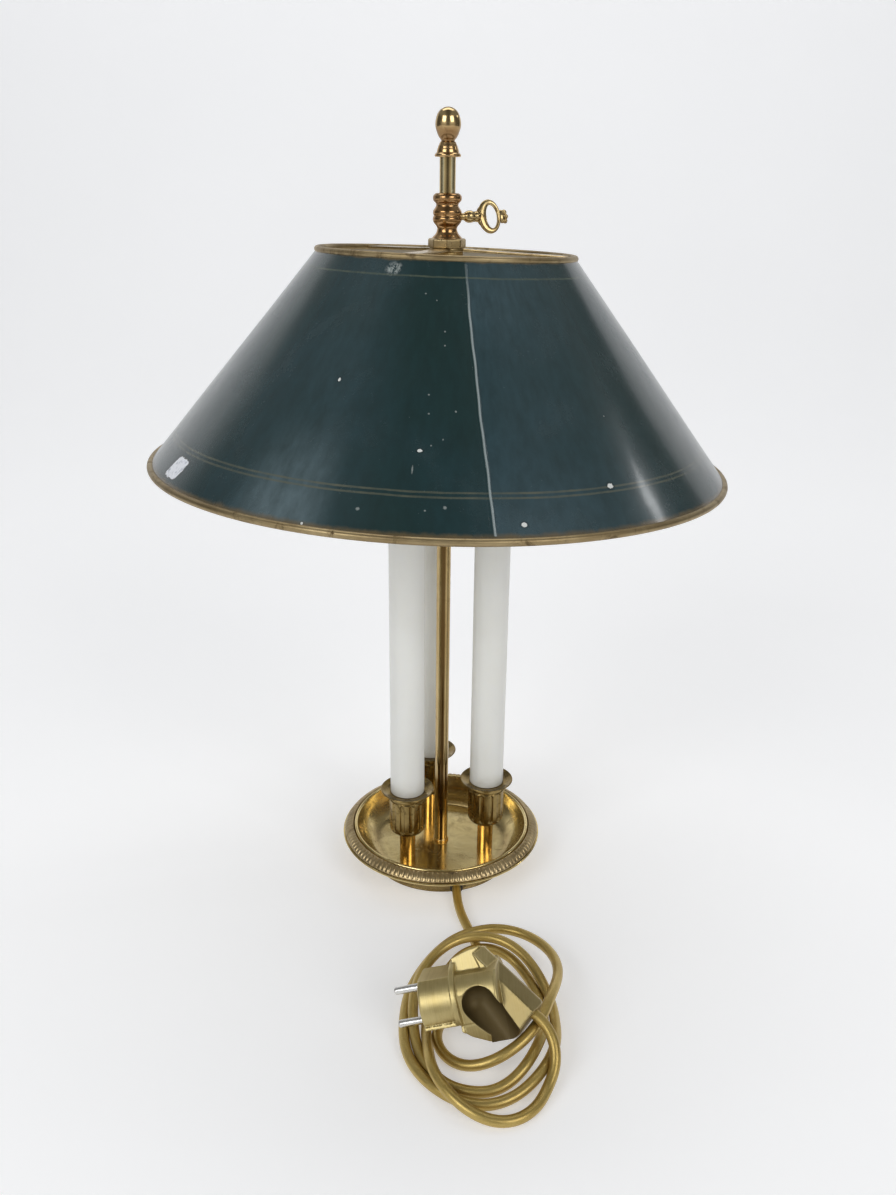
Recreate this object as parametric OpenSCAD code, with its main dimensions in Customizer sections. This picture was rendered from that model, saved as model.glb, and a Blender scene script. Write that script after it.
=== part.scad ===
/* [Foot and dish] */
// Radius of the foot ring the lamp stands on
foot_r = 54.4; // [53:0.1:56]
// Wall of the foot ring
foot_wall = 2; // [1.5:0.1:2.5]
// Height of the dish floor above the table
floor_z = 9.6; // [9.4:0.1:10.4]
// Thickness of the dish floor
floor_t = 1.2; // [1:0.1:1.4]
// Thickness of the felt under the foot
felt_t = 1; // [0.8:0.1:1.2]

/* [Stem] */
// Outside diameter of the stem
stem_d = 10; // [9.8:0.1:10.2]
// Bore of the stem
stem_bore = 8; // [7:0.1:8.4]
// Height of the stem's end inside the finial
stem_top = 506; // [500:1:508]

/* [Candles] */
// Distance from the stem to each candle
candle_ring = 35.1; // [34:0.1:38]
// Outside diameter of a candle sleeve
candle_d = 25; // [24:0.1:25.6]
// Top of the candle sleeves
candle_top = 324; // [318:1:326]
// Underside of the drip cups
cup_z = 33.5; // [30:0.5:38]
// Height of the candle seat in a cup
seat_z = 68.8; // [68.8:0.1:69.2]
// Number of flutes round a cup
cup_flutes = 12; // [10:1:16]

/* [Shade] */
// Height of the shade's top ring on the stem
shade_z = 447.25; // [446:0.25:449]
// Centreline radius of the top ring
shade_top_r = 81.4; // [76:0.1:86]
// Centreline radius of the bottom bead
shade_bottom_r = 188.3; // [180:0.1:190]
// Height of the shade between the two rings
shade_h = 134.1; // [128:0.1:136]
// Thickness of the shade's sheet
shade_t = 0.6; // [0.5:0.05:0.8]
// Sideways lean of the shade on its bent arms
lean_x = 1.6; // [0:0.05:1.8]
// Front to back lean of the shade
lean_y = -1.8; // [-2:0.01:0]

/* [Collar and key] */
// Height of the key's axis on the stem
key_z = 469; // [468.6:0.1:469.4]
// Direction of the key from the side
key_az = 22; // [0:1:60]
// Roll of the key's bow about its own axis
key_roll = -20; // [-90:1:90]

/* [Cord and plug] */
// Diameter of the cord
cord_d = 6.6; // [6:0.1:6.6]
// Diameter of a plug pin
pin_d = 4.8; // [4.8:0.1:4.8]
// Length of a plug pin
pin_l = 19; // [19:0.5:19]
// Distance between the plug pins
pin_pitch = 19; // [19:0.5:19]

/* [Hidden] */
$fn = 64;

stem_r = stem_d / 2;
floor_u = floor_z - floor_t;
// A pin in a hole gets this much room on the radius
fit = 0.05;
// Azimuth of each candle round the stem
az_right = -15.4;
az_left = -135.4;
az_rear = 104.6;
AZ = [az_left, az_right, az_rear];
cord_x = 12;
cord_z = 5;
ring_wire = 2;
bead_wire = 2.3;

module at_candle(az) translate([candle_ring * cos(az), candle_ring * sin(az), 0]) children();
module leaned() translate([-0.2, 0, shade_z]) rotate([lean_y, 0, 0]) rotate([0, lean_x, 0]) children();
module hex_nut(af, h, r) difference() {
  cylinder(r = af / 2 / cos(30), h = h, $fn = 6);
  translate([0, 0, -1]) cylinder(r = r, h = h + 2);
}
module tube(ro, ri, h) difference() {
  cylinder(r = ro, h = h);
  translate([0, 0, -1]) cylinder(r = ri, h = h + 2);
}

// ---- foot ----
module felt_pad() color("#4d4034") cylinder(r = foot_r - foot_wall - 0.2, h = felt_t, $fn = 96);

module cover_plate() color("#3b3a36") difference() {
  translate([0, 0, felt_t]) cylinder(r = foot_r - foot_wall - 0.1, h = 0.6, $fn = 96);
  for (a = [10, 130, 250]) rotate([0, 0, a]) translate([44, 0, 0]) cylinder(r = 1.7, h = 5);
}

module cover_screws() color("#9a968c") for (a = [10, 130, 250]) rotate([0, 0, a]) translate([44, 0, felt_t]) {
  cylinder(r = 1.6, h = 0.6);
  translate([0, 0, 0.5]) cylinder(r = 1.4, h = 4);
}

module base_weight() color("#4a4743") difference() {
  translate([0, 0, felt_t + 0.6]) cylinder(r = 47, h = floor_u - felt_t - 0.6, $fn = 96);
  cylinder(r = 25.5, h = 20);
  for (a = AZ) at_candle(a) cylinder(r = 12.6, h = 20);
  translate([cord_x - 19, -60, 0]) cube([26, 42, 20]);
  for (a = [10, 130, 250]) rotate([0, 0, a]) translate([44, 0, 0]) cylinder(r = 1.45, h = 6.5);
}

module foot_ring() color("#a8863c") difference() {
  rotate_extrude($fn = 128) polygon([
    [foot_r - foot_wall, 0], [foot_r - 0.2, 0], [foot_r, 0.3], [foot_r, 7.6], [foot_r - 0.3, 8],
    [foot_r - 0.3, 9.19], [foot_r - foot_wall, 9.19]]);
  translate([cord_x, -40, cord_z]) rotate([90, 0, 0]) cylinder(r = 4.12, h = 20);
}

// The dish: floor, outward sweep and the sloping shoulder that carries the gadroons
module base_dish() color("#b08e44") difference() {
  rotate_extrude($fn = 128) polygon([
    [0, floor_z], [48, floor_z], [50, floor_z + 0.3], [53, 11.2], [56, 13.4], [59, 16.4], [61.5, 20], [63.3, 24], [64.2, 26.2],
    [64.5, 27.1], [65.2, 27.7], [66.0, 27.8], [66.7, 27.4], [67.1, 26.6], [67.5, 25.9], [69.2, 25.05], [73.7, 21.7], [74.9, 21.9],
    [75.6, 21.4], [75.4, 20.6], [74.6, 20.2], [74, 20.1], [71, 21.8], [67, 23.4], [64.8, 22.6], [62.6, 18.6], [60, 14.8], [57, 11.8], [54, 9.7], [50.5, 8.6],
    [48, floor_u], [0, floor_u]]);
  translate([0, 0, -1]) cylinder(r = stem_r + fit, h = 30);
  for (a = AZ) at_candle(a) translate([0, 0, -1]) cylinder(r = 5 + fit, h = 30);
}

module gadroon_ring() color("#8c7132") rotate_extrude($fn = 128) polygon([
  [67.7, 25.95], [67.75, 27.0], [68.5, 27.3], [69.8, 26.9], [71.4, 26.1], [73.0, 24.9], [74.1, 23.5], [74.4, 22.5], [73.9, 21.85], [73.6, 21.85], [69.25, 25.1]]);

// ---- cord entry and wiring ----
module cord_bush() color("#1d1a17") translate([cord_x, -51.4, cord_z]) rotate([90, 0, 0]) difference() {
  union() {
    cylinder(r = 4.08, h = 4.6);
    translate([0, 0, 3.2]) cylinder(r = 4.7, h = 1.4);
  }
  translate([0, 0, -1]) cylinder(r = cord_d / 2 + fit, h = 10);
}

module cord_clamp() color("#b9b4a6") difference() {
  translate([cord_x - 6, -44, felt_t + 0.9]) cube([12, 6, floor_u - felt_t - 0.9]);
  translate([cord_x, -30, cord_z]) rotate([90, 0, 0]) cylinder(r = cord_d / 2 + fit, h = 20);
  translate([cord_x - 2.6, -50, 0]) cube([5.2, 20, cord_z - 2]);
}

module terminal_block() color("#d8d2c2") difference() {
  translate([-8, -21.5, 2.4]) cube([16, 9, 5.9]);
  for (m = [-1, 1]) wire([cord_x + m * 1.4, -33.45, 5], [m * 4, -18.4, 5], 1.3);
  for (x = [-4, 4]) {
    translate([x, -30, 5]) rotate([-90, 0, 0]) cylinder(r = 1.5, h = 30);
    translate([x, -17, 4.9]) cylinder(r = 1.5, h = 10);
  }
}

module wire(a, b, r) {
  d = b - a;
  l = norm(d);
  translate(a) rotate([0, acos(d[2] / l), atan2(d[1], d[0])]) cylinder(r = r, h = l, $fn = 16);
}

// The two cores that run from the cord's stripped end to the terminals
module supply_leads() color("#6b4a2a") {
  wire([cord_x + 1.4, -33.45, 5], [4, -18.4, 5], 1);
  wire([cord_x - 1.4, -33.45, 5], [-4, -18.4, 5], 1);
}

// One two-core lead for each candle, from the terminals across to its carrier and up through it
module candle_leads() color("#2e5a8a") for (k = [0:2]) {
  q = [candle_ring * cos(AZ[k]), candle_ring * sin(AZ[k]), 3];
  start = [[-8.3, -15, 3], [8.3, -15, 3], [0, -12.2, 3]][k];
  wire(start, q, 0.85);
  translate([q[0], q[1], 2]) cylinder(r = 1.15, h = 295, $fn = 24);
}

// ---- stem ----
module stem_tube() color("#c9a24e") translate([0, 0, 4.2]) tube(stem_r, stem_bore / 2, stem_top - 4.2);

module stem_stud() color("#b8964a") {
  translate([0, 0, stem_top - 12]) cylinder(r = stem_bore / 2 - 0.02, h = 12);
  translate([0, 0, stem_top - 1]) cylinder(r = 3, h = 11.5);
}

module stem_base_ring() color("#c9a24e") rotate_extrude() polygon([
  [stem_r + fit, floor_z], [5.7, floor_z], [5.8, 10.4], [5.7, 11.4], [5.3, 12], [stem_r + fit, 12]]);

module stem_washer() color("#9a968c") translate([0, 0, floor_u - 0.8]) tube(8.6, stem_r + fit, 0.8);

module stem_locknut() color("#9a968c") translate([0, 0, floor_u - 3.6]) hex_nut(16, 2.8, stem_r + 0.03);

// ---- candle carriers ----
module carrier_tube(az) color("#c9a24e") at_candle(az) translate([0, 0, 4.6]) tube(5, 4, 267 - 0);
module carrier_tube_left() carrier_tube(az_left);
module carrier_tube_right() carrier_tube(az_right);
module carrier_tube_rear() carrier_tube(az_rear);

module carrier_locknuts() color("#9a968c") for (a = AZ) at_candle(a) translate([0, 0, floor_u - 3.2]) hex_nut(16, 3.2, 5.03);

module stub_sleeve(az) color("#c9a24e") at_candle(az) translate([0, 0, floor_z]) tube(5.9, 5 + fit, cup_z - floor_z);
module stub_sleeve_left() stub_sleeve(az_left);
module stub_sleeve_right() stub_sleeve(az_right);
module stub_sleeve_rear() stub_sleeve(az_rear);

// A fluted cup with a flared drip edge, thin walled, with the candle seat inside the edge
module candle_cup(az) color("#6f6136") at_candle(az) difference() {
  rotate_extrude() polygon([
    [5 + fit, cup_z], [8.4, cup_z], [9.6, 34.1], [11.4, 35.3], [12.7, 36.8], [13.3, 38.2], [13.5, 39], [13.5, 62.6], [12.9, 63.1],
    [12.9, 63.6], [13.6, 64], [13.7, 65.2], [13.6, 66.4], [14.6, 67.5], [16.4, 68.6], [18.4, 69.3], [19.4, 69.7], [19.7, 70.2],
    [19.3, 70.6], [18.6, 70.5], [17.2, 69.8], [15.4, 69.1], [14.2, seat_z], [5 + fit, seat_z],
    [5 + fit, 67.6], [11.9, 67.6], [12.2, 66.4], [12.2, 39], [11.4, 37.2], [9.8, 35.7], [8.2, 35], [5 + fit, 34.9]]);
  for (i = [0:cup_flutes - 1]) rotate([0, 0, (i + 0.5) * 360 / cup_flutes]) translate([15.1, 0, 38.6]) cylinder(r = 2.4, h = 22.6, $fn = 24);
}
module candle_cup_left() candle_cup(az_left);
module candle_cup_right() candle_cup(az_right);
module candle_cup_rear() candle_cup(az_rear);

module cup_nuts() color("#9a968c") for (a = AZ) at_candle(a) translate([0, 0, seat_z]) hex_nut(17, 3.4, 5.03);

module candle_sleeve(az) color("#ebebe4") at_candle(az) translate([0, 0, seat_z]) difference() {
  cylinder(r = candle_d / 2, h = candle_top - seat_z);
  translate([0, 0, -1]) cylinder(r = candle_d / 2 - 1.2, h = candle_top - seat_z + 2);
}
module candle_sleeve_left() candle_sleeve(az_left);
module candle_sleeve_right() candle_sleeve(az_right);
module candle_sleeve_rear() candle_sleeve(az_rear);

// ---- lampholders and bulbs ----
module lamp_socket(az) color("#e6e0d0") at_candle(az) difference() {
  translate([0, 0, 266]) cylinder(r = 11, h = 57.5);
  translate([0, 0, 260]) cylinder(r = 5 + fit, h = 30);
  translate([0, 0, 275]) cylinder(r = 8.2, h = 60);
}
module lamp_socket_left() lamp_socket(az_left);
module lamp_socket_right() lamp_socket(az_right);
module lamp_socket_rear() lamp_socket(az_rear);

module socket_shells() color("#c8a24a") for (a = AZ) at_candle(a) translate([0, 0, 302]) tube(8.15, 7.45, 20);

module socket_contacts() color("#c8a24a") for (a = AZ) at_candle(a) difference() {
  translate([0, 0, 297.2]) cylinder(r = 8.15, h = 2.2);
  translate([0, 0, 298.6]) cylinder(r = 6.2, h = 2);
  translate([0, 0, 290]) cylinder(r = 1.5, h = 20);
}

module bulb_cap(az) color("#c9c6bd") at_candle(az) rotate_extrude() polygon([
  [0, 299.8], [2.4, 299.8], [3, 300.6], [5.4, 302.2], [6.6, 303], [6.95, 304], [6.95, 323], [7.6, 324.6], [7.6, 327], [7.1, 327], [7.1, 326.4], [0, 326.4]]);
module bulb_cap_left() bulb_cap(az_left);
module bulb_cap_right() bulb_cap(az_right);
module bulb_cap_rear() bulb_cap(az_rear);

module bulb_glass(az) color([0.95, 0.95, 0.92, 0.6]) at_candle(az) rotate_extrude() polygon([
  [6, 326.4], [7.0, 326.4], [7.4, 328], [10.2, 332.5], [13.8, 338.5], [16.4, 345], [17.5, 352], [17.2, 360], [15.6, 369], [12.8, 379], [9.2, 388],
  [5.6, 395.4], [3, 400], [1.2, 401.6], [0, 402], [0, 401], [2.2, 399.2], [4.8, 395], [8.4, 387.5], [12, 378.6], [14.8, 368.8], [16.4, 360], [16.7, 352],
  [15.6, 345.2], [13.1, 339], [9.5, 333], [6.7, 328.6]]);
module bulb_glass_left() bulb_glass(az_left);
module bulb_glass_right() bulb_glass(az_right);
module bulb_glass_rear() bulb_glass(az_rear);

// ---- finial ----
module finial_bell() color("#c9a24e") rotate_extrude() polygon([
  [stem_r + fit, 503.6], [7.8, 503.6], [8.2, 504.1], [8.15, 505.1], [7.7, 505.6], [7.2, 506.0], [6.95, 506.5], [6.7, 507.6], [6.3, 508.7], [5.9, 509.9],
  [5.35, 511.0], [4.95, 512.0], [4.6, 512.4], [4.4, 512.6], [3.05, 512.6], [3.05, 506.3], [stem_r + fit, 506.3]]);

module finial_knob() color("#c9a24e") difference() {
  rotate_extrude() polygon([
    [0, 512.6], [4.3, 512.6], [4.25, 513.1], [4.6, 513.6], [5.3, 514.4], [6.0, 515.5], [6.5, 516.6], [6.9, 517.7], [7.35, 518.9], [7.7, 520.0], [7.9, 521.1],
    [7.95, 522.3], [7.85, 523.8], [7.6, 525.2], [7.2, 526.6], [6.6, 528.0], [5.8, 529.2], [4.7, 530.3], [3.3, 531.2], [1.8, 531.8], [0, 532]]);
  translate([0, 0, 510]) cylinder(r = 3.05, h = 7);
}

// ---- collar that slides on the stem ----
module slider_collar() color("#c39b48") difference() {
  union() {
    translate([0, 0, 444]) cylinder(r = 7.5, h = 7);
    intersection() {
      translate([0, 0, 450.8]) cylinder(r = 11.95, h = 5.5, $fn = 8);
      translate([0, 0, 450.8]) rotate_extrude() polygon([[0, 0], [11.6, 0], [11.95, 0.4], [11.95, 4.6], [11.2, 5.5], [0, 5.5]]);
    }
    rotate_extrude() polygon([
      [0, 456.1], [9.8, 456.1], [9.4, 456.7], [8.7, 457.5], [7.55, 458.7], [6.75, 459.9], [6.4, 461.1], [6.3, 462.3], [6.85, 463.5], [7.8, 464.6], [8.7, 465.7],
      [9.05, 466.7], [9.15, 467.7], [9.05, 468.6], [8.7, 469.2], [8.6, 469.6], [8.7, 470.1], [8.95, 470.7], [9.05, 471.6], [8.95, 472.5], [8.6, 473.2], [7.85, 474.1],
      [7.15, 475.2], [7.0, 476.1], [7.3, 476.9], [8.15, 477.7], [8.75, 478.4], [9.05, 479.2], [9.1, 480.2], [8.9, 481.2], [8.4, 482.0], [7.7, 482.6], [6.8, 483], [0, 483]]);
  }
  translate([0, 0, 440]) cylinder(r = stem_r + 0.06, h = 50);
  translate([0, 0, key_z]) rotate([0, 90, key_az]) cylinder(r = 2.05, h = 20);
}

module collar_ring_nut() color("#b8924a") translate([0, 0, 445.2]) tube(10.4, 7.53, 3.2);

// A thumb key: screw, ball shank and an open bow with three small crest lobes
module key_screw() color("#c39b48") translate([0, 0, key_z]) rotate([0, 0, key_az]) rotate([key_roll, 0, 0]) {
  rotate([0, 90, 0]) rotate_extrude() polygon([
    [0, 5.35], [2, 5.35], [2, 9.3], [2.15, 9.6], [2.15, 11.2], [2.7, 12.0], [3.4, 13.2], [3.75, 14.6], [3.75, 16.0], [3.35, 17.3], [3.15, 18.3],
    [3.35, 19.4], [3.2, 20.6], [2.4, 22.0], [1.6, 22.8], [0, 22.8]]);
  rotate([90, 0, 0]) translate([0, 0, -1.7]) linear_extrude(3.4) difference() {
    union() {
      translate([29.2, 0]) scale([8.3, 10.45]) circle(r = 1, $fn = 48);
      polygon([[19.4, 3.2], [21, 3.7], [23, 5.2], [25, 7.6], [25, -7.6], [23, -5.2], [21, -3.7], [19.4, -3.2]]);
      polygon([[35.6, 4.2], [37.4, 4.2], [39.4, 3.2], [39.4, -3.2], [37.4, -4.2], [35.6, -4.2]]);
    }
    translate([30.9, 0]) scale([4.4, 7.5]) circle(r = 1, $fn = 36);
  }
  rotate([90, 0, 0]) for (p = [[39.4, -2.7], [40.2, 0], [39.4, 2.7]]) translate([p[0], p[1], -1.5]) cylinder(r = 1.7, h = 3, $fn = 24);
}

// ---- shade and its carrier ----
// Height of the top ring's centreline in the direction of one arm
function ring_lift(a) = -shade_top_r * (cos(a) * sin(lean_x) - sin(a) * sin(lean_y));
module spider() color("#b8924a") difference() {
  union() {
    translate([0, 0, 448.5]) cylinder(r = 11.3, h = 2.2);
    for (a = [10, 130, 250]) {
      out = shade_top_r - ring_wire - 0.15;
      drop = shade_z + ring_lift(a) - 449.6;
      rotate([0, 0, a]) translate([9, 0, 449.6]) rotate([0, -atan2(drop, out - 9), 0]) translate([0, -6, -0.75]) cube([norm([out - 9, drop]), 12, 1.5]);
    }
  }
  translate([0, 0, 440]) cylinder(r = 7.56, h = 20);
}

module shade_top_ring() color("#8a6f37") leaned() rotate_extrude($fn = 128) translate([shade_top_r, 0]) circle(r = ring_wire, $fn = 24);

slope = atan2(shade_h, shade_bottom_r - shade_top_r);
slant = norm([shade_h, shade_bottom_r - shade_top_r]);
module cone_strip(t, off, from_top, from_bottom) translate([shade_top_r, 0]) rotate([0, 0, -slope])
  translate([from_top, off]) square([slant - from_top - from_bottom, t]);

module shade_cone() color("#2f3f45") leaned() rotate_extrude($fn = 128) cone_strip(shade_t, -shade_t / 2, ring_wire, bead_wire);

module shade_seam() color("#33444b") leaned() rotate([0, 0, -81.4]) rotate([90, 0, 0]) translate([0, 0, -2.4]) linear_extrude(4.8)
  cone_strip(0.5, shade_t / 2 + 0.06, ring_wire + 1.2, bead_wire + 1.2);

module shade_bottom_bead() color("#8a6f37") leaned() rotate_extrude($fn = 128) translate([shade_bottom_r, -shade_h]) circle(r = bead_wire, $fn = 24);

// ---- cord: the points of its route, from the clamp under the dish to the plug ----
ROUTE = [
  [12, -34, 5], [12, -46, 5], [12, -58, 5], [13, -72, 3.5], [16, -87, 3.5], [21, -102, 3.5], [26, -117, 3.5], [28, -133, 3.5], [25, -149, 3.5], [18, -164, 3.5], [8.5, -177.5, 4], [0.5, -191.5, 3.5],
  [-1, -203.5, 3.5], [2.5, -214, 3.5], [10, -223, 4], [21.5, -228.5, 6.5], [37, -228.5, 13.5], [52, -220, 19.5], [63, -207, 24.5], [69, -190, 25], [75, -172, 21], [78, -154, 17], [75, -136, 14], [66, -121, 12],
  [53, -111, 11], [38, -108, 11], [23, -112, 11], [9, -119, 10], [-4, -131, 6], [-13, -146, 3.5], [-19, -163, 3.5], [-21, -181, 3.5], [-21, -200, 3.5], [-18, -217, 3.5], [-10, -232.5, 4], [2, -244.5, 4],
  [15, -252, 3.5], [30, -254, 3.5], [45, -249, 5], [57, -239.5, 8.5], [67, -225.5, 10.5], [72, -209.5, 9.5], [73, -193, 6], [72.5, -176, 5.5], [68.5, -160, 7.5], [62, -147, 12], [53, -136, 16], [41, -128, 18],
  [27, -125, 18], [13, -127, 17], [0, -135, 14], [-10, -149, 11], [-15, -167, 10], [-16, -184, 8.5], [-14.5, -199, 5], [-11, -218, 4.5], [-2, -231, 3.5], [7, -240, 3.5], [19, -244, 3.5], [32, -244, 3.5],
  [44, -239, 7], [54, -230, 13], [61, -216, 15], [65, -201, 11], [66, -186, 5], [65.5, -171.5, 3.5], [62.5, -157.5, 3.5], [57, -143.5, 3], [49, -133.5, 7], [37, -129, 11], [24, -129.5, 11.5], [12, -136, 9],
  [4, -148.5, 4.5], [-2, -163, 3.5], [-6, -180, 3.5], [-7.5, -198, 4], [-5.5, -214.5, 9], [-4.5, -229, 12.5], [0, -242, 12], [9, -254, 10], [21, -262.5, 6.5], [35, -265.5, 3.5], [48, -262.5, 3.5], [58, -253.5, 4],
  [63.5, -243, 5], [68.5, -234.7, 10.5], [69.7, -227.3, 17.5], [67.7, -220.8, 23.6], [63.2, -215.4, 28.5], [57.2, -211.3, 31.9], [51, -208.7, 33.6]];
rings = 80;
sides = 8;
function knot(i) = i < 0 ? 2 * ROUTE[0] - ROUTE[1] : i >= len(ROUTE) ? 2 * ROUTE[len(ROUTE) - 1] - ROUTE[len(ROUTE) - 2] : ROUTE[i];
function along(u) = let(i = min(floor(u), len(ROUTE) - 2), t = u - i)
  (pow(1 - t, 3) * knot(i - 1) + (3 * t * t * t - 6 * t * t + 4) * knot(i) + (-3 * t * t * t + 3 * t * t + 3 * t + 1) * knot(i + 1) + t * t * t * knot(i + 2)) / 6;
function unit(v) = v / norm(v);
module swept(n, r, k) {
  c = [for (i = [0:n - 1]) along(i * (len(ROUTE) - 1) / (n - 1))];
  pts = [for (i = [0:n - 1]) let(d = unit(c[min(i + 1, n - 1)] - c[max(i - 1, 0)]), s = unit(cross(d, [0, 0, 1])), w = cross(s, d))
    for (j = [0:k - 1]) c[i] + r * (s * cos(360 * (j + 0.5) / k) + w * sin(360 * (j + 0.5) / k))];
  faces = concat([[for (j = [0:k - 1]) j]], [[for (j = [0:k - 1]) (n - 1) * k + k - 1 - j]],
    [for (i = [0:n - 2]) for (j = [0:k - 1]) [i * k + j, (i + 1) * k + j, (i + 1) * k + (j + 1) % k, i * k + (j + 1) % k]]);
  polyhedron(points = pts, faces = faces, convexity = 10);
}
module cord() color("#a58a45") swept(rings, cord_d / 2, sides);

// ---- plug, in its own frame: x from the pins' face back, y along the line of the pins ----
module in_plug() translate([-6.9, -196.9, 25.7]) rotate([48.3, 0, 0]) rotate([0, 0, 9.9]) rotate([0, -14, 0]) children();
// The scoop on one side of the body: a channel that starts in a rounded hollow
module plug_scoop() translate([36.1, -5.9, 15.5]) {
  rotate([0, 0, -61.7]) rotate([0, 90, 0]) cylinder(r = 10, h = 50);
  rotate([0, 0, -61.7]) translate([0, -10, 0]) cube([50, 20, 14]);
  rotate_extrude() polygon([[0, -8.8], [3.2, -8.5], [6, -7.4], [8.3, -5.4], [9.7, -2.8], [10.2, 0.5], [10.2, 14], [0, 14]]);
}
module plug_body() color("#b39a58") in_plug() difference() {
  union() {
    difference() {
      rotate([0, 90, 0]) rotate_extrude() polygon([
        [0, 0], [18.8, 0], [19.7, 0.6], [20, 1.6], [20, 20.4], [20.6, 20.6], [20.6, 47.2], [19.2, 48.6], [0, 48.6]]);
      rotate([21, 0, 0]) translate([-1, 17.1, -30]) cube([60, 10, 60]);
      translate([-1, -30, -30]) cube([60, 14.2, 60]);
      translate([-1, -13.7, 14]) cube([21.3, 1, 10]);
    }
    difference() {
      translate([20.3, 0, 0]) rotate([0, 90, 0]) cylinder(r = 22.3, h = 3.4);
      translate([10, -30, -30]) cube([20, 14.4, 60]);
    }
    translate([0.8, -15.8, -11]) cube([20, 2.1, 26.4]);
    difference() {
      translate([0, 0, -11]) linear_extrude(22) polygon([
        [21.8, 19.9], [21.8, 22.3], [23.9, 22.9], [31.3, 25.1], [39.4, 26.7], [41.1, 26.2], [70.1, -9.9], [70, -11.3], [61.3, -18.8], [53.5, -26.3], [50.7, -27.8], [38.7, -27.8],
        [35.9, -27], [26.8, -23.1], [21.8, -19.4]]);
      for (m = [0, 1]) mirror([0, 0, m]) translate([40.7, 26.3, 2]) rotate([0, 0, -51.1]) rotate([-56, 0, 0]) translate([0, -20, 0]) cube([60, 40, 20]);
    }
    translate([0, 0, 10.5]) linear_extrude(1.7) polygon([[35.6, 23.6], [43.5, 13.2], [39.2, 12.7]]);
  }
  for (s = [-1, 1]) translate([-1, s * pin_pitch / 2, 0]) rotate([0, 90, 0]) cylinder(r = 2.02, h = 13);
  for (m = [0, 1]) mirror([0, 0, m]) {
    plug_scoop();
    translate([23.7, 0.3, 20.3]) rotate([28.6, 0, 0]) translate([0, -45, 0]) cube([14.6, 45, 20]);
  }
}

module plug_pins() color("#cfccc4") in_plug() for (s = [-1, 1]) translate([0, s * pin_pitch / 2, 0]) rotate([0, 90, 0]) {
  rotate_extrude() polygon([[0, -pin_l], [pin_d / 2 - 0.8, -pin_l], [pin_d / 2, -pin_l + 0.9], [pin_d / 2, 0], [2, 0], [2, 11.9], [0, 11.9]]);
}

felt_pad();
cover_plate();
cover_screws();
base_weight();
foot_ring();
base_dish();
gadroon_ring();
cord_bush();
cord_clamp();
terminal_block();
supply_leads();
candle_leads();
stem_tube();
stem_stud();
stem_base_ring();
stem_washer();
stem_locknut();
carrier_tube_left();
carrier_tube_right();
carrier_tube_rear();
carrier_locknuts();
stub_sleeve_left();
stub_sleeve_right();
stub_sleeve_rear();
candle_cup_left();
candle_cup_right();
candle_cup_rear();
cup_nuts();
candle_sleeve_left();
candle_sleeve_right();
candle_sleeve_rear();
lamp_socket_left();
lamp_socket_right();
lamp_socket_rear();
socket_shells();
socket_contacts();
bulb_cap_left();
bulb_cap_right();
bulb_cap_rear();
bulb_glass_left();
bulb_glass_right();
bulb_glass_rear();
finial_knob();
finial_bell();
slider_collar();
collar_ring_nut();
key_screw();
spider();
shade_top_ring();
shade_cone();
shade_bottom_bead();
shade_seam();
cord();
plug_body();
plug_pins();
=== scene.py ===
import math
import random

import bmesh
import bpy
import numpy as np
from mathutils import Matrix, Vector


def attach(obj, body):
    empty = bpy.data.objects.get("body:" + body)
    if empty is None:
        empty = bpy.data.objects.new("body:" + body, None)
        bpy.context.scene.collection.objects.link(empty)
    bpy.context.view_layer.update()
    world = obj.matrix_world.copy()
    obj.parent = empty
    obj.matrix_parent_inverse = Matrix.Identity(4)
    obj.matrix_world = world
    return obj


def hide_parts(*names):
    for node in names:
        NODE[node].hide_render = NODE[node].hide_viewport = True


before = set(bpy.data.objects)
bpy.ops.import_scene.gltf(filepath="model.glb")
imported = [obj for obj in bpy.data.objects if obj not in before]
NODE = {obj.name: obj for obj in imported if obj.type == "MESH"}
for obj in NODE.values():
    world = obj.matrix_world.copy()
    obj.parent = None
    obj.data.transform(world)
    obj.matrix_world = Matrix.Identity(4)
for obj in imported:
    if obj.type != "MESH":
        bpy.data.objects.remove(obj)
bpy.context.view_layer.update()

MM = 0.001
SEAM = math.radians(-81.4)
scene = bpy.context.scene
scene.view_settings.view_transform = "Standard"
scene.view_settings.look = "None"
scene.view_settings.exposure = 0.0

# ------------------------------------------------------------------ camera
cam_data = bpy.data.cameras.new("camera")
cam_data.sensor_fit = "VERTICAL"
cam_data.sensor_height = 36.0
cam_data.sensor_width = 36.0
cam_data.lens = 32.485
cam_data.clip_start = 0.02
cam_data.clip_end = 30.0
camera = bpy.data.objects.new("camera", cam_data)
scene.collection.objects.link(camera)
camera.matrix_world = (Matrix.Translation((0.003326, -0.71563, 0.49555))
                       @ Matrix.Rotation(math.radians(90) - 0.3765, 4, "X") @ Matrix.Rotation(0.0119, 4, "Z"))
scene.camera = camera


# ------------------------------------------------------------------ mesh helpers
def link(ob):
    scene.collection.objects.link(ob)
    return ob


def mesh_object(name, verts, faces, uvs=None, smooth=True):
    """verts in millimetres; uvs one (u, v) per face corner, in the order of the faces."""
    me = bpy.data.meshes.new(name)
    me.from_pydata([tuple(v) for v in (np.asarray(verts, float) * MM)], [], [tuple(int(i) for i in f) for f in faces])
    me.update()
    if uvs is not None:
        layer = me.uv_layers.new(name="UVMap")
        layer.data.foreach_set("uv", np.asarray(uvs, np.float32).ravel())
    if smooth:
        me.polygons.foreach_set("use_smooth", [True] * len(me.polygons))
    return link(bpy.data.objects.new(name, me))


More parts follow.
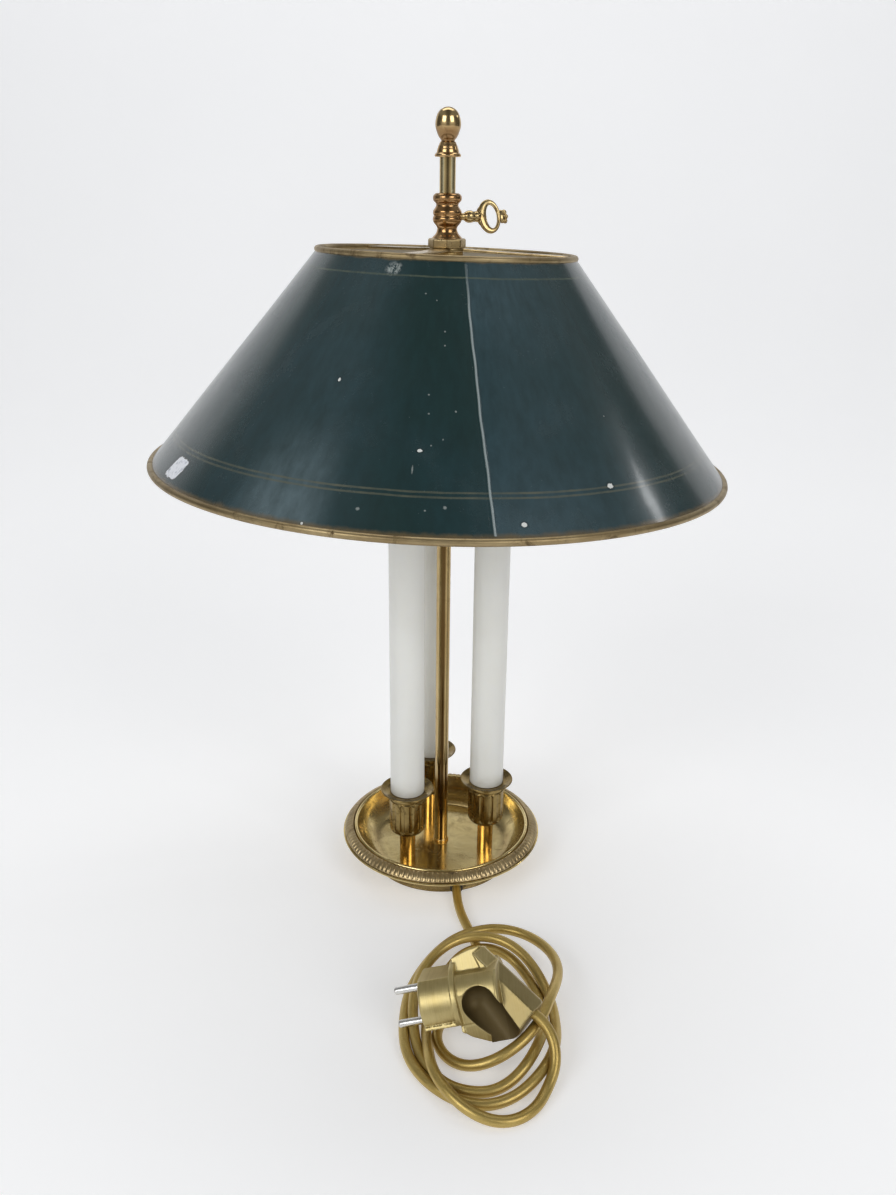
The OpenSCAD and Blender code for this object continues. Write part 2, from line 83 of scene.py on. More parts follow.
def rounded(points, r=0.25, n=3, angle=18.0, closed=True):
    """A profile whose corners sharper than `angle` degrees are turned into small arcs of radius r."""
    p = [np.array(q[:2], float) for q in points]
    out = []
    m = len(p)
    for i in range(m):
        if not closed and i in (0, m - 1):
            out.append(p[i])
            continue
        a, b, c = p[i - 1], p[i], p[(i + 1) % m]
        u, v = a - b, c - b
        lu, lv = np.linalg.norm(u), np.linalg.norm(v)
        if lu < 1e-6 or lv < 1e-6:
            continue
        u, v = u / lu, v / lv
        turn = math.degrees(math.pi - math.acos(max(-1, min(1, float(u @ v)))))
        if turn < angle or (abs(b[0]) < 1e-9):
            out.append(b)
            continue
        half = math.radians(turn) / 2
        cut = min(r * math.tan(half), 0.42 * lu, 0.42 * lv)
        s, e = b + u * cut, b + v * cut
        for k in range(n + 1):
            t = k / n
            out.append((1 - t) ** 2 * s + 2 * t * (1 - t) * b + t * t * e)
    return out


def flow(points, n=4, corner=40.0):
    """Catmull-Rom through the points, which keeps corners sharper than `corner` degrees."""
    p = [np.array(q[:2], float) for q in points]
    m = len(p)
    sharp = [True] * m
    for i in range(1, m - 1):
        u, v = p[i] - p[i - 1], p[i + 1] - p[i]
        c = float(u @ v) / (np.linalg.norm(u) * np.linalg.norm(v) + 1e-12)
        sharp[i] = math.degrees(math.acos(max(-1, min(1, c)))) > corner
    out = []
    for i in range(m - 1):
        p1, p2 = p[i], p[i + 1]
        p0 = p1 - (p2 - p1) if sharp[i] else p[i - 1]
        p3 = p2 + (p2 - p1) if sharp[i + 1] else p[i + 2]
        l = np.linalg.norm(p2 - p1)
        t1 = (p2 - p0) / (np.linalg.norm(p1 - p0) + l) * l
        t2 = (p3 - p1) / (l + np.linalg.norm(p3 - p2)) * l
        for k in range(n):
            t = k / n
            out.append((2 * t**3 - 3 * t**2 + 1) * p1 + (t**3 - 2 * t**2 + t) * t1 + (-2 * t**3 + 3 * t**2) * p2 + (t**3 - t**2) * t2)
    out.append(p[-1])
    return out


def lathe(name, profile, seg=96, at=(0, 0), matrix=None, closed=True, shape=None, smooth=True):
    """Turns a profile of (radius, height) in mm round the vertical. closed joins its last point to its first.
    shape(angle, r, z, s) may move a point: it returns dr, dz. UV: u = angle in turns, v = length along the profile in metres."""
    pr = np.array([q[:2] for q in profile], float)
    m = len(pr)
    s = np.r_[0, np.cumsum(np.linalg.norm(np.diff(pr, axis=0), axis=1))]
    ang = 2 * math.pi * np.arange(seg) / seg
    verts, index = [], np.zeros((m, seg), int)
    for i, (r, z) in enumerate(pr):
        if r < 1e-6:
            index[i, :] = len(verts)
            verts.append((0, 0, z))
            continue
        for j, a in enumerate(ang):
            dr, dz = shape(a, r, z, s[i]) if shape else (0, 0)
            index[i, j] = len(verts)
            verts.append(((r + dr) * math.cos(a), (r + dr) * math.sin(a), z + dz))
    faces, uvs = [], []
    last = m if closed else m - 1
    for i in range(last):
        k = (i + 1) % m
        sv0, sv1 = s[i], (s[k] if k else s[-1] + np.linalg.norm(pr[0] - pr[-1]))
        for j in range(seg):
            l = (j + 1) % seg
            q = [index[i, j], index[i, l], index[k, l], index[k, j]]
            w = [(j / seg, sv0 * MM), ((j + 1) / seg, sv0 * MM), ((j + 1) / seg, sv1 * MM), (j / seg, sv1 * MM)]
            f, g = [], []
            for a, b in zip(q, w):
                if a not in f:
                    f.append(a)
                    g.append(b)
            if len(f) > 2:
                faces.append(f)
                uvs.extend(g)
    verts = np.array(verts, float)
    if matrix is not None:
        mt = np.array(matrix, float)
        verts = verts @ mt[:3, :3].T + mt[:3, 3]
    verts[:, 0] += at[0]
    verts[:, 1] += at[1]
    ob = mesh_object(name, verts, faces, uvs, smooth)
    fix_normals(ob)
    return ob


def fix_normals(ob):
    bm = bmesh.new()
    bm.from_mesh(ob.data)
    bmesh.ops.recalc_face_normals(bm, faces=bm.faces)
    bm.to_mesh(ob.data)
    bm.free()


def weighted(ob):
    m = ob.modifiers.new("weighted", "WEIGHTED_NORMAL")
    m.keep_sharp = True
    m.weight = 60
    return ob


def bevel(ob, width_mm, segments=2, angle=30):
    m = ob.modifiers.new("bevel", "BEVEL")
    m.width = width_mm * MM
    m.segments = segments
    m.limit_method = "ANGLE"
    m.angle_limit = math.radians(angle)
    m.harden_normals = False
    return ob


def apply_modifiers(ob):
    dep = bpy.context.evaluated_depsgraph_get()
    dep.update()
    me = bpy.data.meshes.new_from_object(ob.evaluated_get(dep), preserve_all_data_layers=True, depsgraph=dep)
    ob.modifiers.clear()
    old = ob.data
    ob.data = me
    bpy.data.meshes.remove(old)
    return ob


def cut_with(ob, cutter):
    m = ob.modifiers.new("cut", "BOOLEAN")
    m.operation = "DIFFERENCE"
    m.solver = "EXACT"
    m.object = cutter
    apply_modifiers(ob)
    bpy.data.objects.remove(cutter)
    return ob


def rod(r, a, b, seg=32):
    """A plain cylinder between two points in mm, used only as a cutter."""
    a, b = Vector(a), Vector(b)
    d = b - a
    q = d.to_track_quat("Z", "Y")
    me = bpy.data.meshes.new("cutter")
    bm = bmesh.new()
    bmesh.ops.create_cone(bm, cap_ends=True, segments=seg, radius1=r * MM, radius2=r * MM, depth=d.length * MM)
    bm.transform(Matrix.Translation((a + b) * 0.5 * MM) @ q.to_matrix().to_4x4())
    bm.to_mesh(me)
    bm.free()
    return link(bpy.data.objects.new("cutter", me))


def flatten_shading(ob, angle=35):
    me = ob.data
    me.polygons.foreach_set("use_smooth", [True] * len(me.polygons))
    me.set_sharp_from_angle(angle=math.radians(angle))


def stands_for(ob, body, slot, *nodes):
    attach(ob, body)
    if nodes:
        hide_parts(*nodes)
    return ob


# ------------------------------------------------------------------ materials
class Mat:
    def __init__(self, name):
        self.m = bpy.data.materials.new(name)
        self.m.use_nodes = True
        self.t = self.m.node_tree
        self.t.nodes.clear()
        self.out = self.node("ShaderNodeOutputMaterial")
        self.b = self.node("ShaderNodeBsdfPrincipled")
        self.t.links.new(self.b.outputs[0], self.out.inputs[0])
        self.co = self.node("ShaderNodeTexCoord")

    def node(self, kind, **kw):
        n = self.t.nodes.new(kind)
        for k, v in kw.items():
            setattr(n, k, v)
        return n

    def put(self, sock, v):
        if isinstance(v, bpy.types.NodeSocket):
            self.t.links.new(v, sock)
        elif isinstance(v, (tuple, list)) and len(v) == 3 and sock.type == "RGBA":
            sock.default_value = (*v, 1)
        else:
            sock.default_value = v

    def set(self, **kw):
        names = dict(base="Base Color", metallic="Metallic", rough="Roughness", normal="Normal", ior="IOR", coat="Coat Weight",
                     coat_rough="Coat Roughness", sss="Subsurface Weight", sss_scale="Subsurface Scale", trans="Transmission Weight",
                     spec="Specular IOR Level", sheen="Sheen Weight", sheen_rough="Sheen Roughness", aniso="Anisotropic", alpha="Alpha",
                     tint="Specular Tint", coat_ior="Coat IOR", coat_normal="Coat Normal")
        for k, v in kw.items():
            self.put(self.b.inputs[names[k]], v)
        return self

    @property
    def obj(self):
        return self.co.outputs["Object"]

    @property
    def uv(self):
        return self.co.outputs["UV"]

    def mapping(self, vec, scale=(1, 1, 1), loc=(0, 0, 0), rot=(0, 0, 0)):
        n = self.node("ShaderNodeMapping")
        self.put(n.inputs["Vector"], vec)
        n.inputs["Scale"].default_value = scale
        n.inputs["Location"].default_value = loc
        n.inputs["Rotation"].default_value = rot
        return n.outputs[0]

    def noise(self, vec, scale, detail=4, rough=0.5, dist=0.0):
        n = self.node("ShaderNodeTexNoise")
        self.put(n.inputs["Vector"], vec)
        n.inputs["Scale"].default_value = scale
        n.inputs["Detail"].default_value = detail
        n.inputs["Roughness"].default_value = rough
        n.inputs["Distortion"].default_value = dist
        return n.outputs[0]

    def voronoi(self, vec, scale, feature="F1", rnd=1.0):
        n = self.node("ShaderNodeTexVoronoi", feature=feature)
        self.put(n.inputs["Vector"], vec)
        n.inputs["Scale"].default_value = scale
        n.inputs["Randomness"].default_value = rnd
        return n.outputs["Distance"]

    def ramp(self, fac, stops, ease=False):
        n = self.node("ShaderNodeValToRGB")
        if ease:
            n.color_ramp.interpolation = "EASE"
        self.put(n.inputs[0], fac)
        els = n.color_ramp.elements
        while len(els) < len(stops):
            els.new(0.5)
        for e, (p, c) in zip(els, stops):
            e.position = p
            e.color = (c, c, c, 1) if isinstance(c, (int, float)) else (*c, 1)
        return n.outputs[0]

    def mix(self, fac, a, b, mode="MIX"):
        n = self.node("ShaderNodeMix", data_type="RGBA", blend_type=mode)
        self.put(n.inputs[0], fac)
        self.put(n.inputs[6], a)
        self.put(n.inputs[7], b)
        return n.outputs[2]

    def math(self, op, a, b=0.0, c=0.0, clamp=False):
        n = self.node("ShaderNodeMath", operation=op, use_clamp=clamp)
        self.put(n.inputs[0], a)
        self.put(n.inputs[1], b)
        self.put(n.inputs[2], c)
        return n.outputs[0]

    def xyz(self, vec):
        n = self.node("ShaderNodeSeparateXYZ")
        self.put(n.inputs[0], vec)
        return n.outputs[0], n.outputs[1], n.outputs[2]

    def join(self, x, y, z):
        n = self.node("ShaderNodeCombineXYZ")
        self.put(n.inputs[0], x)
        self.put(n.inputs[1], y)
        self.put(n.inputs[2], z)
        return n.outputs[0]

    def rng(self, v, a, b, c=0.0, d=1.0, smooth=False):
        n = self.node("ShaderNodeMapRange", interpolation_type="SMOOTHSTEP" if smooth else "LINEAR")
        self.put(n.inputs[0], v)
        for i, k in enumerate((a, b, c, d)):
            self.put(n.inputs[i + 1], k)
        return n.outputs[0]

    def bump(self, height, strength=0.2, dist=0.0002, normal=None):
        n = self.node("ShaderNodeBump")
        n.inputs["Strength"].default_value = strength
        n.inputs["Distance"].default_value = dist
        self.put(n.inputs["Height"], height)
        if normal is not None:
            self.put(n.inputs["Normal"], normal)
        return n.outputs[0]


def brass(name, light, mid, dark, rough=(0.12, 0.3), patina=0.35, scale=1.0, brush=None, dirt=(0.10, 0.07, 0.03), bump=0.12, seed=0.0, tube_tarnish_and_painted_light=False, painted_shade_below=None):
    """Brass with tone drift, tarnish clouds, fine scratches and small dark spots. brush stretches the scratches along one axis."""
    m = Mat(name)
    v = m.mapping(m.obj, loc=(seed, seed * 0.7, seed * 1.3))
    cloud = m.noise(v, 22 * scale, 5, 0.6, 0.4)
    fine = m.noise(v, 160 * scale, 6, 0.65, 0.2)
    tone = m.mix(m.ramp(cloud, [(0.32, 0), (0.68, 1)], True), mid, light)
    stain = m.ramp(m.noise(v, 45 * scale, 8, 0.7, 1.2), [(0.50, 0), (0.72, 1)], True)
    stain = m.math("MULTIPLY", stain, patina)
    tone = m.mix(stain, tone, dark)
    spots = m.ramp(m.voronoi(v, 420 * scale), [(0.05, 1), (0.12, 0)])
    spots = m.math("MULTIPLY", spots, m.ramp(m.noise(v, 70 * scale, 3), [(0.52, 0), (0.62, 1)]))
    spots = m.math("MULTIPLY", spots, 0.55)
    tone = m.mix(spots, tone, dirt)
    # painted shade: the piece is darker below the given height
    if painted_shade_below:
        x, y, z = m.xyz(m.obj)
        edge = m.math("ADD", z, m.math("MULTIPLY", m.math("SUBTRACT", cloud, 0.5), 0.006))
        tone = m.mix(m.rng(edge, painted_shade_below[0], painted_shade_below[1], 0, 0.72, smooth=True), tone, (0.22, 0.115, 0.05))
    if tube_tarnish_and_painted_light:
        # a drawn tube: tarnish runs along it in bands; it is darker beneath the shade as painted shade, with a bright
        # painted highlight on each flank and a dark painted reflection line down the front
        x, y, z = m.xyz(m.obj)
        turn = m.math("ARCTAN2", y, x)
        off = m.math("ABSOLUTE", m.math("ADD", turn, math.pi / 2))
        bands = m.noise(m.join(m.math("MULTIPLY", x, 260.0), m.math("MULTIPLY", y, 260.0), m.math("MULTIPLY", z, 3.0)), 1.0, 3, 0.5)
        waver = m.math("MULTIPLY", m.math("SUBTRACT", m.noise(m.join(0.0, 0.0, m.math("MULTIPLY", z, 40.0)), 1.0, 3), 0.5), 0.16)
        low = m.rng(z, 0.40, 0.34, 0, 1, smooth=True)
        # painted reflection: a dark line down the front of the tube
        painted_dark_reflection = m.math("MULTIPLY", m.rng(m.math("ADD", off, waver), 0.48, 0.16, 0, 1.0, smooth=True), m.rng(low, 0, 1, 0.55, 0.93))
        tone = m.mix(m.rng(bands, 0.54, 0.72, 0, 0.40), tone, (0.20, 0.12, 0.045))
        # painted shade: darker beneath the shade
        tone = m.mix(m.math("MULTIPLY", low, 0.40), tone, (0.20, 0.125, 0.045))
        # painted highlights: a bright line on each flank
        painted_flank_highlight = m.rng(m.math("ABSOLUTE", m.math("SUBTRACT", off, 0.66)), 0.30, 0.08, 0, 1, smooth=True)
        tone = m.mix(m.math("MULTIPLY", painted_flank_highlight, m.rng(low, 0, 1, 0.95, 0.15)), tone, (1.0, 0.86, 0.53))
        tone = m.mix(painted_dark_reflection, tone, (0.085, 0.046, 0.014))
    sv = m.mapping(v, scale=brush or (1, 1, 1))
    scratch = m.noise(sv, 900 * scale, 3, 0.6)
    rr = m.math("ADD", m.rng(fine, 0.3, 0.7, rough[0], (rough[0] + rough[1]) / 2), m.math("MULTIPLY", stain, (rough[1] - rough[0]) * 1.6))
    rr = m.math("ADD", rr, m.math("MULTIPLY", m.math("SUBTRACT", scratch, 0.5), 0.16), clamp=True)
    h = m.math("ADD", m.math("MULTIPLY", fine, 0.6), m.math("MULTIPLY", scratch, 0.5))
    h = m.math("SUBTRACT", h, m.math("MULTIPLY", spots, 0.6))
    m.set(base=tone, metallic=1.0, rough=rr, normal=m.bump(h, bump, 0.00012))
    return m


BR_LIGHT, BR_MID, BR_DARK = (0.80, 0.60, 0.27), (0.66, 0.46, 0.17), (0.26, 0.16, 0.055)

mat_stem = brass("brass_stem", (0.74, 0.56, 0.27), (0.55, 0.39, 0.16), (0.22, 0.13, 0.045), rough=(0.12, 0.30), patina=0.55, brush=(1, 1, 0.05), seed=0.3, tube_tarnish_and_painted_light=True)
mat_stub = brass("brass_stub", (0.92, 0.64, 0.27), (0.80, 0.52, 0.17), (0.44, 0.24, 0.07), rough=(0.20, 0.32), patina=0.3, brush=(1, 1, 0.06), seed=1.1)
mat_top = brass("brass_finial", (0.62, 0.44, 0.22), (0.48, 0.30, 0.13), (0.18, 0.085, 0.035), rough=(0.12, 0.30), patina=0.7, scale=2.2, seed=2.4)
mat_knob = brass("brass_knob", (0.62, 0.46, 0.23), (0.48, 0.32, 0.14), (0.18, 0.085, 0.035), rough=(0.12, 0.30), patina=0.7, scale=2.2, seed=2.4, painted_shade_below=(0.5235, 0.5165))
mat_collar = brass("brass_collar", (0.53, 0.34, 0.16), (0.39, 0.215, 0.085), (0.16, 0.07, 0.03), rough=(0.13, 0.32), patina=0.7, scale=2.4, seed=4.1)
mat_key = brass("brass_key", (0.56, 0.43, 0.215), (0.42, 0.29, 0.125), (0.18, 0.105, 0.04), rough=(0.16, 0.34), patina=0.5, scale=3.0, seed=5.7)
mat_spider = brass("brass_spider", (0.50, 0.38, 0.20), (0.37, 0.27, 0.12), (0.16, 0.09, 0.035), rough=(0.24, 0.45), patina=0.8, scale=1.4, brush=(0.08, 1, 1), seed=7.7)
mat_rim = brass("brass_shade_rim", (0.40, 0.31, 0.17), (0.29, 0.215, 0.11), (0.11, 0.075, 0.038), rough=(0.38, 0.58), patina=0.9, scale=1.6, seed=8.3)
mat_band = brass("brass_gadroon", (0.53, 0.41, 0.225), (0.39, 0.29, 0.145), (0.13, 0.085, 0.04), rough=(0.26, 0.5), patina=0.8, scale=1.5, seed=9.1)
mat_cup = brass("brass_cup", (0.33, 0.24, 0.095), (0.22, 0.15, 0.052), (0.07, 0.043, 0.014), rough=(0.15, 0.34), patina=0.8, scale=1.8, brush=(1, 1, 0.12), seed=10.9)
mat_foot = brass("brass_foot", (0.32, 0.24, 0.11), (0.23, 0.165, 0.07), (0.09, 0.055, 0.022), rough=(0.22, 0.45), patina=0.7, brush=(1, 1, 0.3), seed=12.2)
mat_hidden = brass("brass_hidden", (0.62, 0.46, 0.22), (0.52, 0.36, 0.15), (0.22, 0.13, 0.05), rough=(0.25, 0.5), patina=0.6, seed=13.0)


def dish_material():
    """Polished spun dish: rings left by turning, honey tarnish clouds, fingerprints, and painted shade darkening the
    corner of the wall.
    """
    m = Mat("brass_dish")
    v = m.mapping(m.obj, loc=(1.7, 0.4, 0.2))
    x, y, z = m.xyz(m.obj)
    rad = m.math("SQRT", m.math("ADD", m.math("MULTIPLY", x, x), m.math("MULTIPLY", y, y)))
    cloud = m.noise(v, 26, 6, 0.62, 0.6)
    tone = m.mix(m.ramp(cloud, [(0.30, 0), (0.70, 1)], True), (0.64, 0.49, 0.205), (0.82, 0.66, 0.33))
    haze = m.ramp(m.noise(v, 60, 8, 0.7, 1.5), [(0.46, 0), (0.70, 1)], True)
    tone = m.mix(m.math("MULTIPLY", haze, 0.50), tone, (0.42, 0.31, 0.13))
    # painted shade in the corner where the floor meets the wall
    corner = m.rng(m.math("ABSOLUTE", m.math("SUBTRACT", rad, 0.0505)), 0.0, 0.0075, 1, 0, smooth=True)
    corner = m.math("MULTIPLY", corner, m.rng(cloud, 0.35, 0.65, 0.25, 0.8))
    tone = m.mix(corner, tone, (0.20, 0.125, 0.045))
    wob = m.math("ADD", rad, m.math("MULTIPLY", m.noise(v, 18, 2), 0.0009))
    rings = m.math("SINE", m.math("MULTIPLY", wob, 2 * math.pi / 0.0017))
    rings2 = m.math("SINE", m.math("MULTIPLY", wob, 2 * math.pi / 0.00052))
    rings = m.math("ADD", m.math("MULTIPLY", rings, 0.6), m.math("MULTIPLY", rings2, 0.4))
    fine = m.noise(v, 240, 6, 0.65)
    wide = m.noise(v, 75, 3, 0.5)
    rr = m.math("ADD", m.rng(fine, 0.3, 0.7, 0.15, 0.21), m.math("MULTIPLY", haze, 0.12))
    rr = m.math("ADD", rr, m.math("MULTIPLY", rings, 0.02), clamp=True)
    h = m.math("ADD", m.math("MULTIPLY", rings, 0.14), m.math("MULTIPLY", fine, 0.35))
    n1 = m.bump(wide, 0.05, 0.0007)
    m.set(base=tone, metallic=1.0, rough=rr, normal=m.bump(h, 0.07, 0.00018, n1))
    return m


mat_dish = dish_material()

# Places on the shade where the paint is knocked off: direction in degrees, mm down the slope, half width, half height
CHIPS = [(-93.5, 120.5, 1.45, 0.90), (-75.3, 162.0, 1.6, 1.35), (-56.5, 143.6, 1.9, 1.6), (-114.7, 82.1, 0.8, 1.05), (-112.0, 168.3, 0.75, 0.85),
         (60.0, 70.0, 1.2, 0.9), (110.0, 128.0, 1.4, 1.8), (165.0, 40.0, 0.9, 1.1), (20.0, 158.0, 1.6, 1.2), (140.0, 162.0, 1.3, 1.0)]
# and the smaller, dimmer nicks
NICKS = [(-103.1, 156.2, 1.1, 1.0), (-88.5, 152.5, 0.9, 0.9), (-94.6, 131.7, 0.45, 2.4), (-86.5, 96.6, 0.55, 0.6), (-92.6, 87.0, 0.5, 0.5), (-92.3, 98.4, 0.5, 0.5), (-89.4, 47.6, 0.45, 0.5), (-89.3, 56.4, 0.45, 0.5), (-96.1, 23.8, 0.5, 0.45),
         (-92.3, 28.0, 0.45, 0.45), (-91.4, 117.2, 0.5, 0.5), (-89.1, 113.4, 0.4, 0.5), (-91.8, 154.6, 0.5, 0.5), (-50.6, 102.0, 0.5, 0.5), (75.0, 110.0, 0.6, 0.8), (-170.0, 90.0, 0.6, 0.6)]


def shade_material(inside=False, seam=False):
    """Dark petrol lacquer. UV: u is the direction in turns, v the distance down the slope in metres."""
    m = Mat("lacquer_inside" if inside else ("lacquer_seam" if seam else "lacquer_shade"))
    u, t, _ = m.xyz(m.uv)
    o = m.mapping(m.obj, loc=(0.2, 3.1, 0.7))
    wide = m.noise(o, 7.5, 4, 0.55, 0.3)
    mid = m.noise(o, 30, 6, 0.6, 0.3)
    streak = m.noise(m.mapping(m.join(m.math("MULTIPLY", u, 60.0), m.math("MULTIPLY", t, 26.0), 0.0), scale=(1, 1, 1)), 2.2, 5, 0.6, 0.2)
    green, blue = (0.0125, 0.0350, 0.0342), (0.0180, 0.0495, 0.0625)
    # the joint's place round the shade at this height, and how far past it this point is
    joint = m.math("ADD", (math.degrees(SEAM) % 360) / 360, m.rng(t, 0.0, 0.168, -1.1 / 360, 1.1 / 360))
    turn = m.math("ADD", joint, m.math("MULTIPLY", m.math("SUBTRACT", u, 0.5), 0.006)) if seam else u
    past = m.rng(m.math("SUBTRACT", turn, joint), 0.0, 0.0008, 0, 1)
    # bluer bands right of the joint and on the left: partly the paint's own tone, partly painted sheen
    right = m.math("MULTIPLY", past, m.rng(turn, 0.772, 0.93, 1, 0, smooth=True))
    left = m.math("MULTIPLY", m.rng(turn, 0.60, 0.645, 0, 1, smooth=True), m.rng(turn, 0.735, 0.69, 0, 1, smooth=True))
    amount = m.math("ADD", m.math("MULTIPLY", m.math("MAXIMUM", right, m.math("MULTIPLY", left, 0.6)), 0.6), m.rng(wide, 0.40, 0.68, 0.0, 0.45), clamp=True)
    col = m.mix(amount, green, blue)
    # painted sheen: paler, hazy reflection next to the seam, and low down on the left
    ends = m.math("MAXIMUM", m.rng(t, 0.075, 0.015, 0.36, 0.85, smooth=True), m.rng(t, 0.115, 0.165, 0.36, 0.85, smooth=True))
    painted_sheen = m.math("MULTIPLY", m.math("MULTIPLY", past, m.rng(turn, 0.772, 0.90, 1, 0)), ends)
    low = m.math("MULTIPLY", m.math("MULTIPLY", m.rng(turn, 0.640, 0.670, 0, 1, smooth=True), m.rng(turn, 0.706, 0.684, 0, 1, smooth=True)), m.rng(t, 0.100, 0.165, 0.08, 1.0, smooth=True))
    painted_sheen = m.math("MULTIPLY", painted_sheen, m.rng(mid, 0.25, 0.7, 0.75, 1.0))
    col = m.mix(painted_sheen, col, (0.056, 0.096, 0.114))
    col = m.mix(m.math("MULTIPLY", low, m.rng(mid, 0.25, 0.7, 0.7, 1.0)), col, (0.120, 0.172, 0.192))
    col = m.mix(m.rng(streak, 0.35, 0.7, 0.0, 0.45), col, (0.0100, 0.0225, 0.0215))
    rub = m.ramp(mid, [(0.50, 0), (0.74, 1)], True)
    col = m.mix(m.math("MULTIPLY", rub, 0.18), col, (0.045, 0.072, 0.078))
    fine = m.noise(o, 420, 5, 0.7)
    peel = m.noise(o, 190, 3, 0.5)
    rough = m.math("ADD", m.rng(mid, 0.3, 0.7, 0.21, 0.29), m.math("MULTIPLY", m.math("SUBTRACT", fine, 0.5), 0.08))
    height = m.math("ADD", m.math("MULTIPLY", peel, 0.5), m.math("MULTIPLY", fine, 0.2))
    hair = m.noise(m.mapping(m.join(m.math("MULTIPLY", u, 200.0), m.math("MULTIPLY", t, 9.0), 0.0), scale=(1, 1, 1)), 3.0, 2, 0.5)
    height = m.math("ADD", height, m.math("MULTIPLY", hair, 0.12))
    if inside:
        col = m.mix(m.rng(wide, 0.3, 0.7), (0.42, 0.37, 0.28), (0.52, 0.47, 0.37))
        col = m.mix(m.math("MULTIPLY", rub, 0.35), col, (0.46, 0.41, 0.31))
        soot = m.rng(t, 0.0, 0.08, 0.55, 0.0, smooth=True)
        col = m.mix(m.math("MULTIPLY", soot, m.rng(mid, 0.3, 0.7, 0.4, 1.0)), col, (0.26, 0.22, 0.16))
        m.set(base=col, rough=m.math("ADD", rough, 0.15), normal=m.bump(height, 0.14, 0.00025), spec=0.4)
        return m
    # painted lines: one near the top, a pair near the bottom
    drift = m.math("MULTIPLY", m.math("SUBTRACT", m.noise(m.join(m.math("MULTIPLY", u, 24.0), 0.0, 0.0), 1.0, 3), 0.5), 0.0013)
    tt = m.math("ADD", t, drift)
    lines = None
    for at_mm, half, strength in ((12.6, 0.50, 0.70), (144.1, 0.50, 0.85), (146.9, 0.52, 0.80)):
        d = m.math("ABSOLUTE", m.math("SUBTRACT", tt, at_mm * MM))
        d = m.math("ADD", d, m.math("MULTIPLY", m.math("SUBTRACT", m.noise(o, 260, 3), 0.5), 0.00055))
        one = m.math("MULTIPLY", m.rng(d, (half + 0.34) * MM, (half - 0.22) * MM, 0, 1, smooth=True), strength)
        lines = one if lines is None else m.math("MAXIMUM", lines, one)
    worn = m.rng(m.noise(o, 55, 5, 0.65), 0.34, 0.62, 0.42, 1.0)
    lines = m.math("MULTIPLY", lines, worn)
    col = m.mix(lines, col, m.mix(m.rng(t, 0.05, 0.10), (0.110, 0.130, 0.090), (0.115, 0.120, 0.085)))
    # rubbed edges next to both rims
    low = m.rng(m.math("ADD", t, m.math("MULTIPLY", m.math("SUBTRACT", m.noise(o, 90, 5, 0.7), 0.5), 0.005)), 0.1660, 0.1696, 0, 1, smooth=True)
    top = m.rng(m.math("ADD", t, m.math("MULTIPLY", m.math("SUBTRACT", m.noise(o, 80, 5, 0.7), 0.5), 0.005)), 0.0034, 0.0012, 0, 1, smooth=True)
    edge = m.math("MULTIPLY", m.math("MAXIMUM", low, top), 0.75)
    col = m.mix(edge, col, (0.17, 0.12, 0.055))
    # chips
    wobble = m.noise(o, 900, 4, 0.6)

    def spots(places):
        near = None
        for deg, down, hw, hh in places:
            radius = 81.4 + 106.9 * down / 171.5
            du = m.math("MULTIPLY", m.math("SUBTRACT", u, (deg % 360) / 360), 2 * math.pi * radius / hw)
            dt = m.math("MULTIPLY", m.math("SUBTRACT", t, down * MM), 1000 / hh)
            dd = m.math("SQRT", m.math("ADD", m.math("MULTIPLY", du, du), m.math("MULTIPLY", dt, dt)))
            near = dd if near is None else m.math("MINIMUM", near, dd)
        return near

    chips, nicks = spots(CHIPS), spots(NICKS)
    nick = m.math("MULTIPLY", m.rng(m.math("ADD", nicks, m.math("MULTIPLY", m.math("SUBTRACT", wobble, 0.5), 1.3)), 1.2, 0.6, 0, 1), 0.42)
    ragged = m.math("ADD", chips, m.math("MULTIPLY", m.math("SUBTRACT", wobble, 0.5), 1.1))
    chip = m.rng(ragged, 1.05, 0.85, 0, 1)
    halo = m.rng(ragged, 2.1, 1.0, 0, 0.75, smooth=True)
    # the scuffed patch near the top
    du = m.math("MULTIPLY", m.math("SUBTRACT", u, (250.3 % 360) / 360), 2 * math.pi * 86.5)
    dt = m.math("MULTIPLY", m.math("SUBTRACT", t, 8.6 * MM), 1000)
    pd = m.math("SQRT", m.math("ADD", m.math("MULTIPLY", du, du), m.math("MULTIPLY", dt, dt)))
    flake = m.noise(o, 330, 5, 0.7, 0.6)
    patch = m.math("MULTIPLY", m.rng(m.math("ADD", pd, m.math("MULTIPLY", m.math("SUBTRACT", mid, 0.5), 9.0)), 6.6, 1.5, 0, 1, smooth=True), m.rng(flake, 0.45, 0.56, 0, 1))
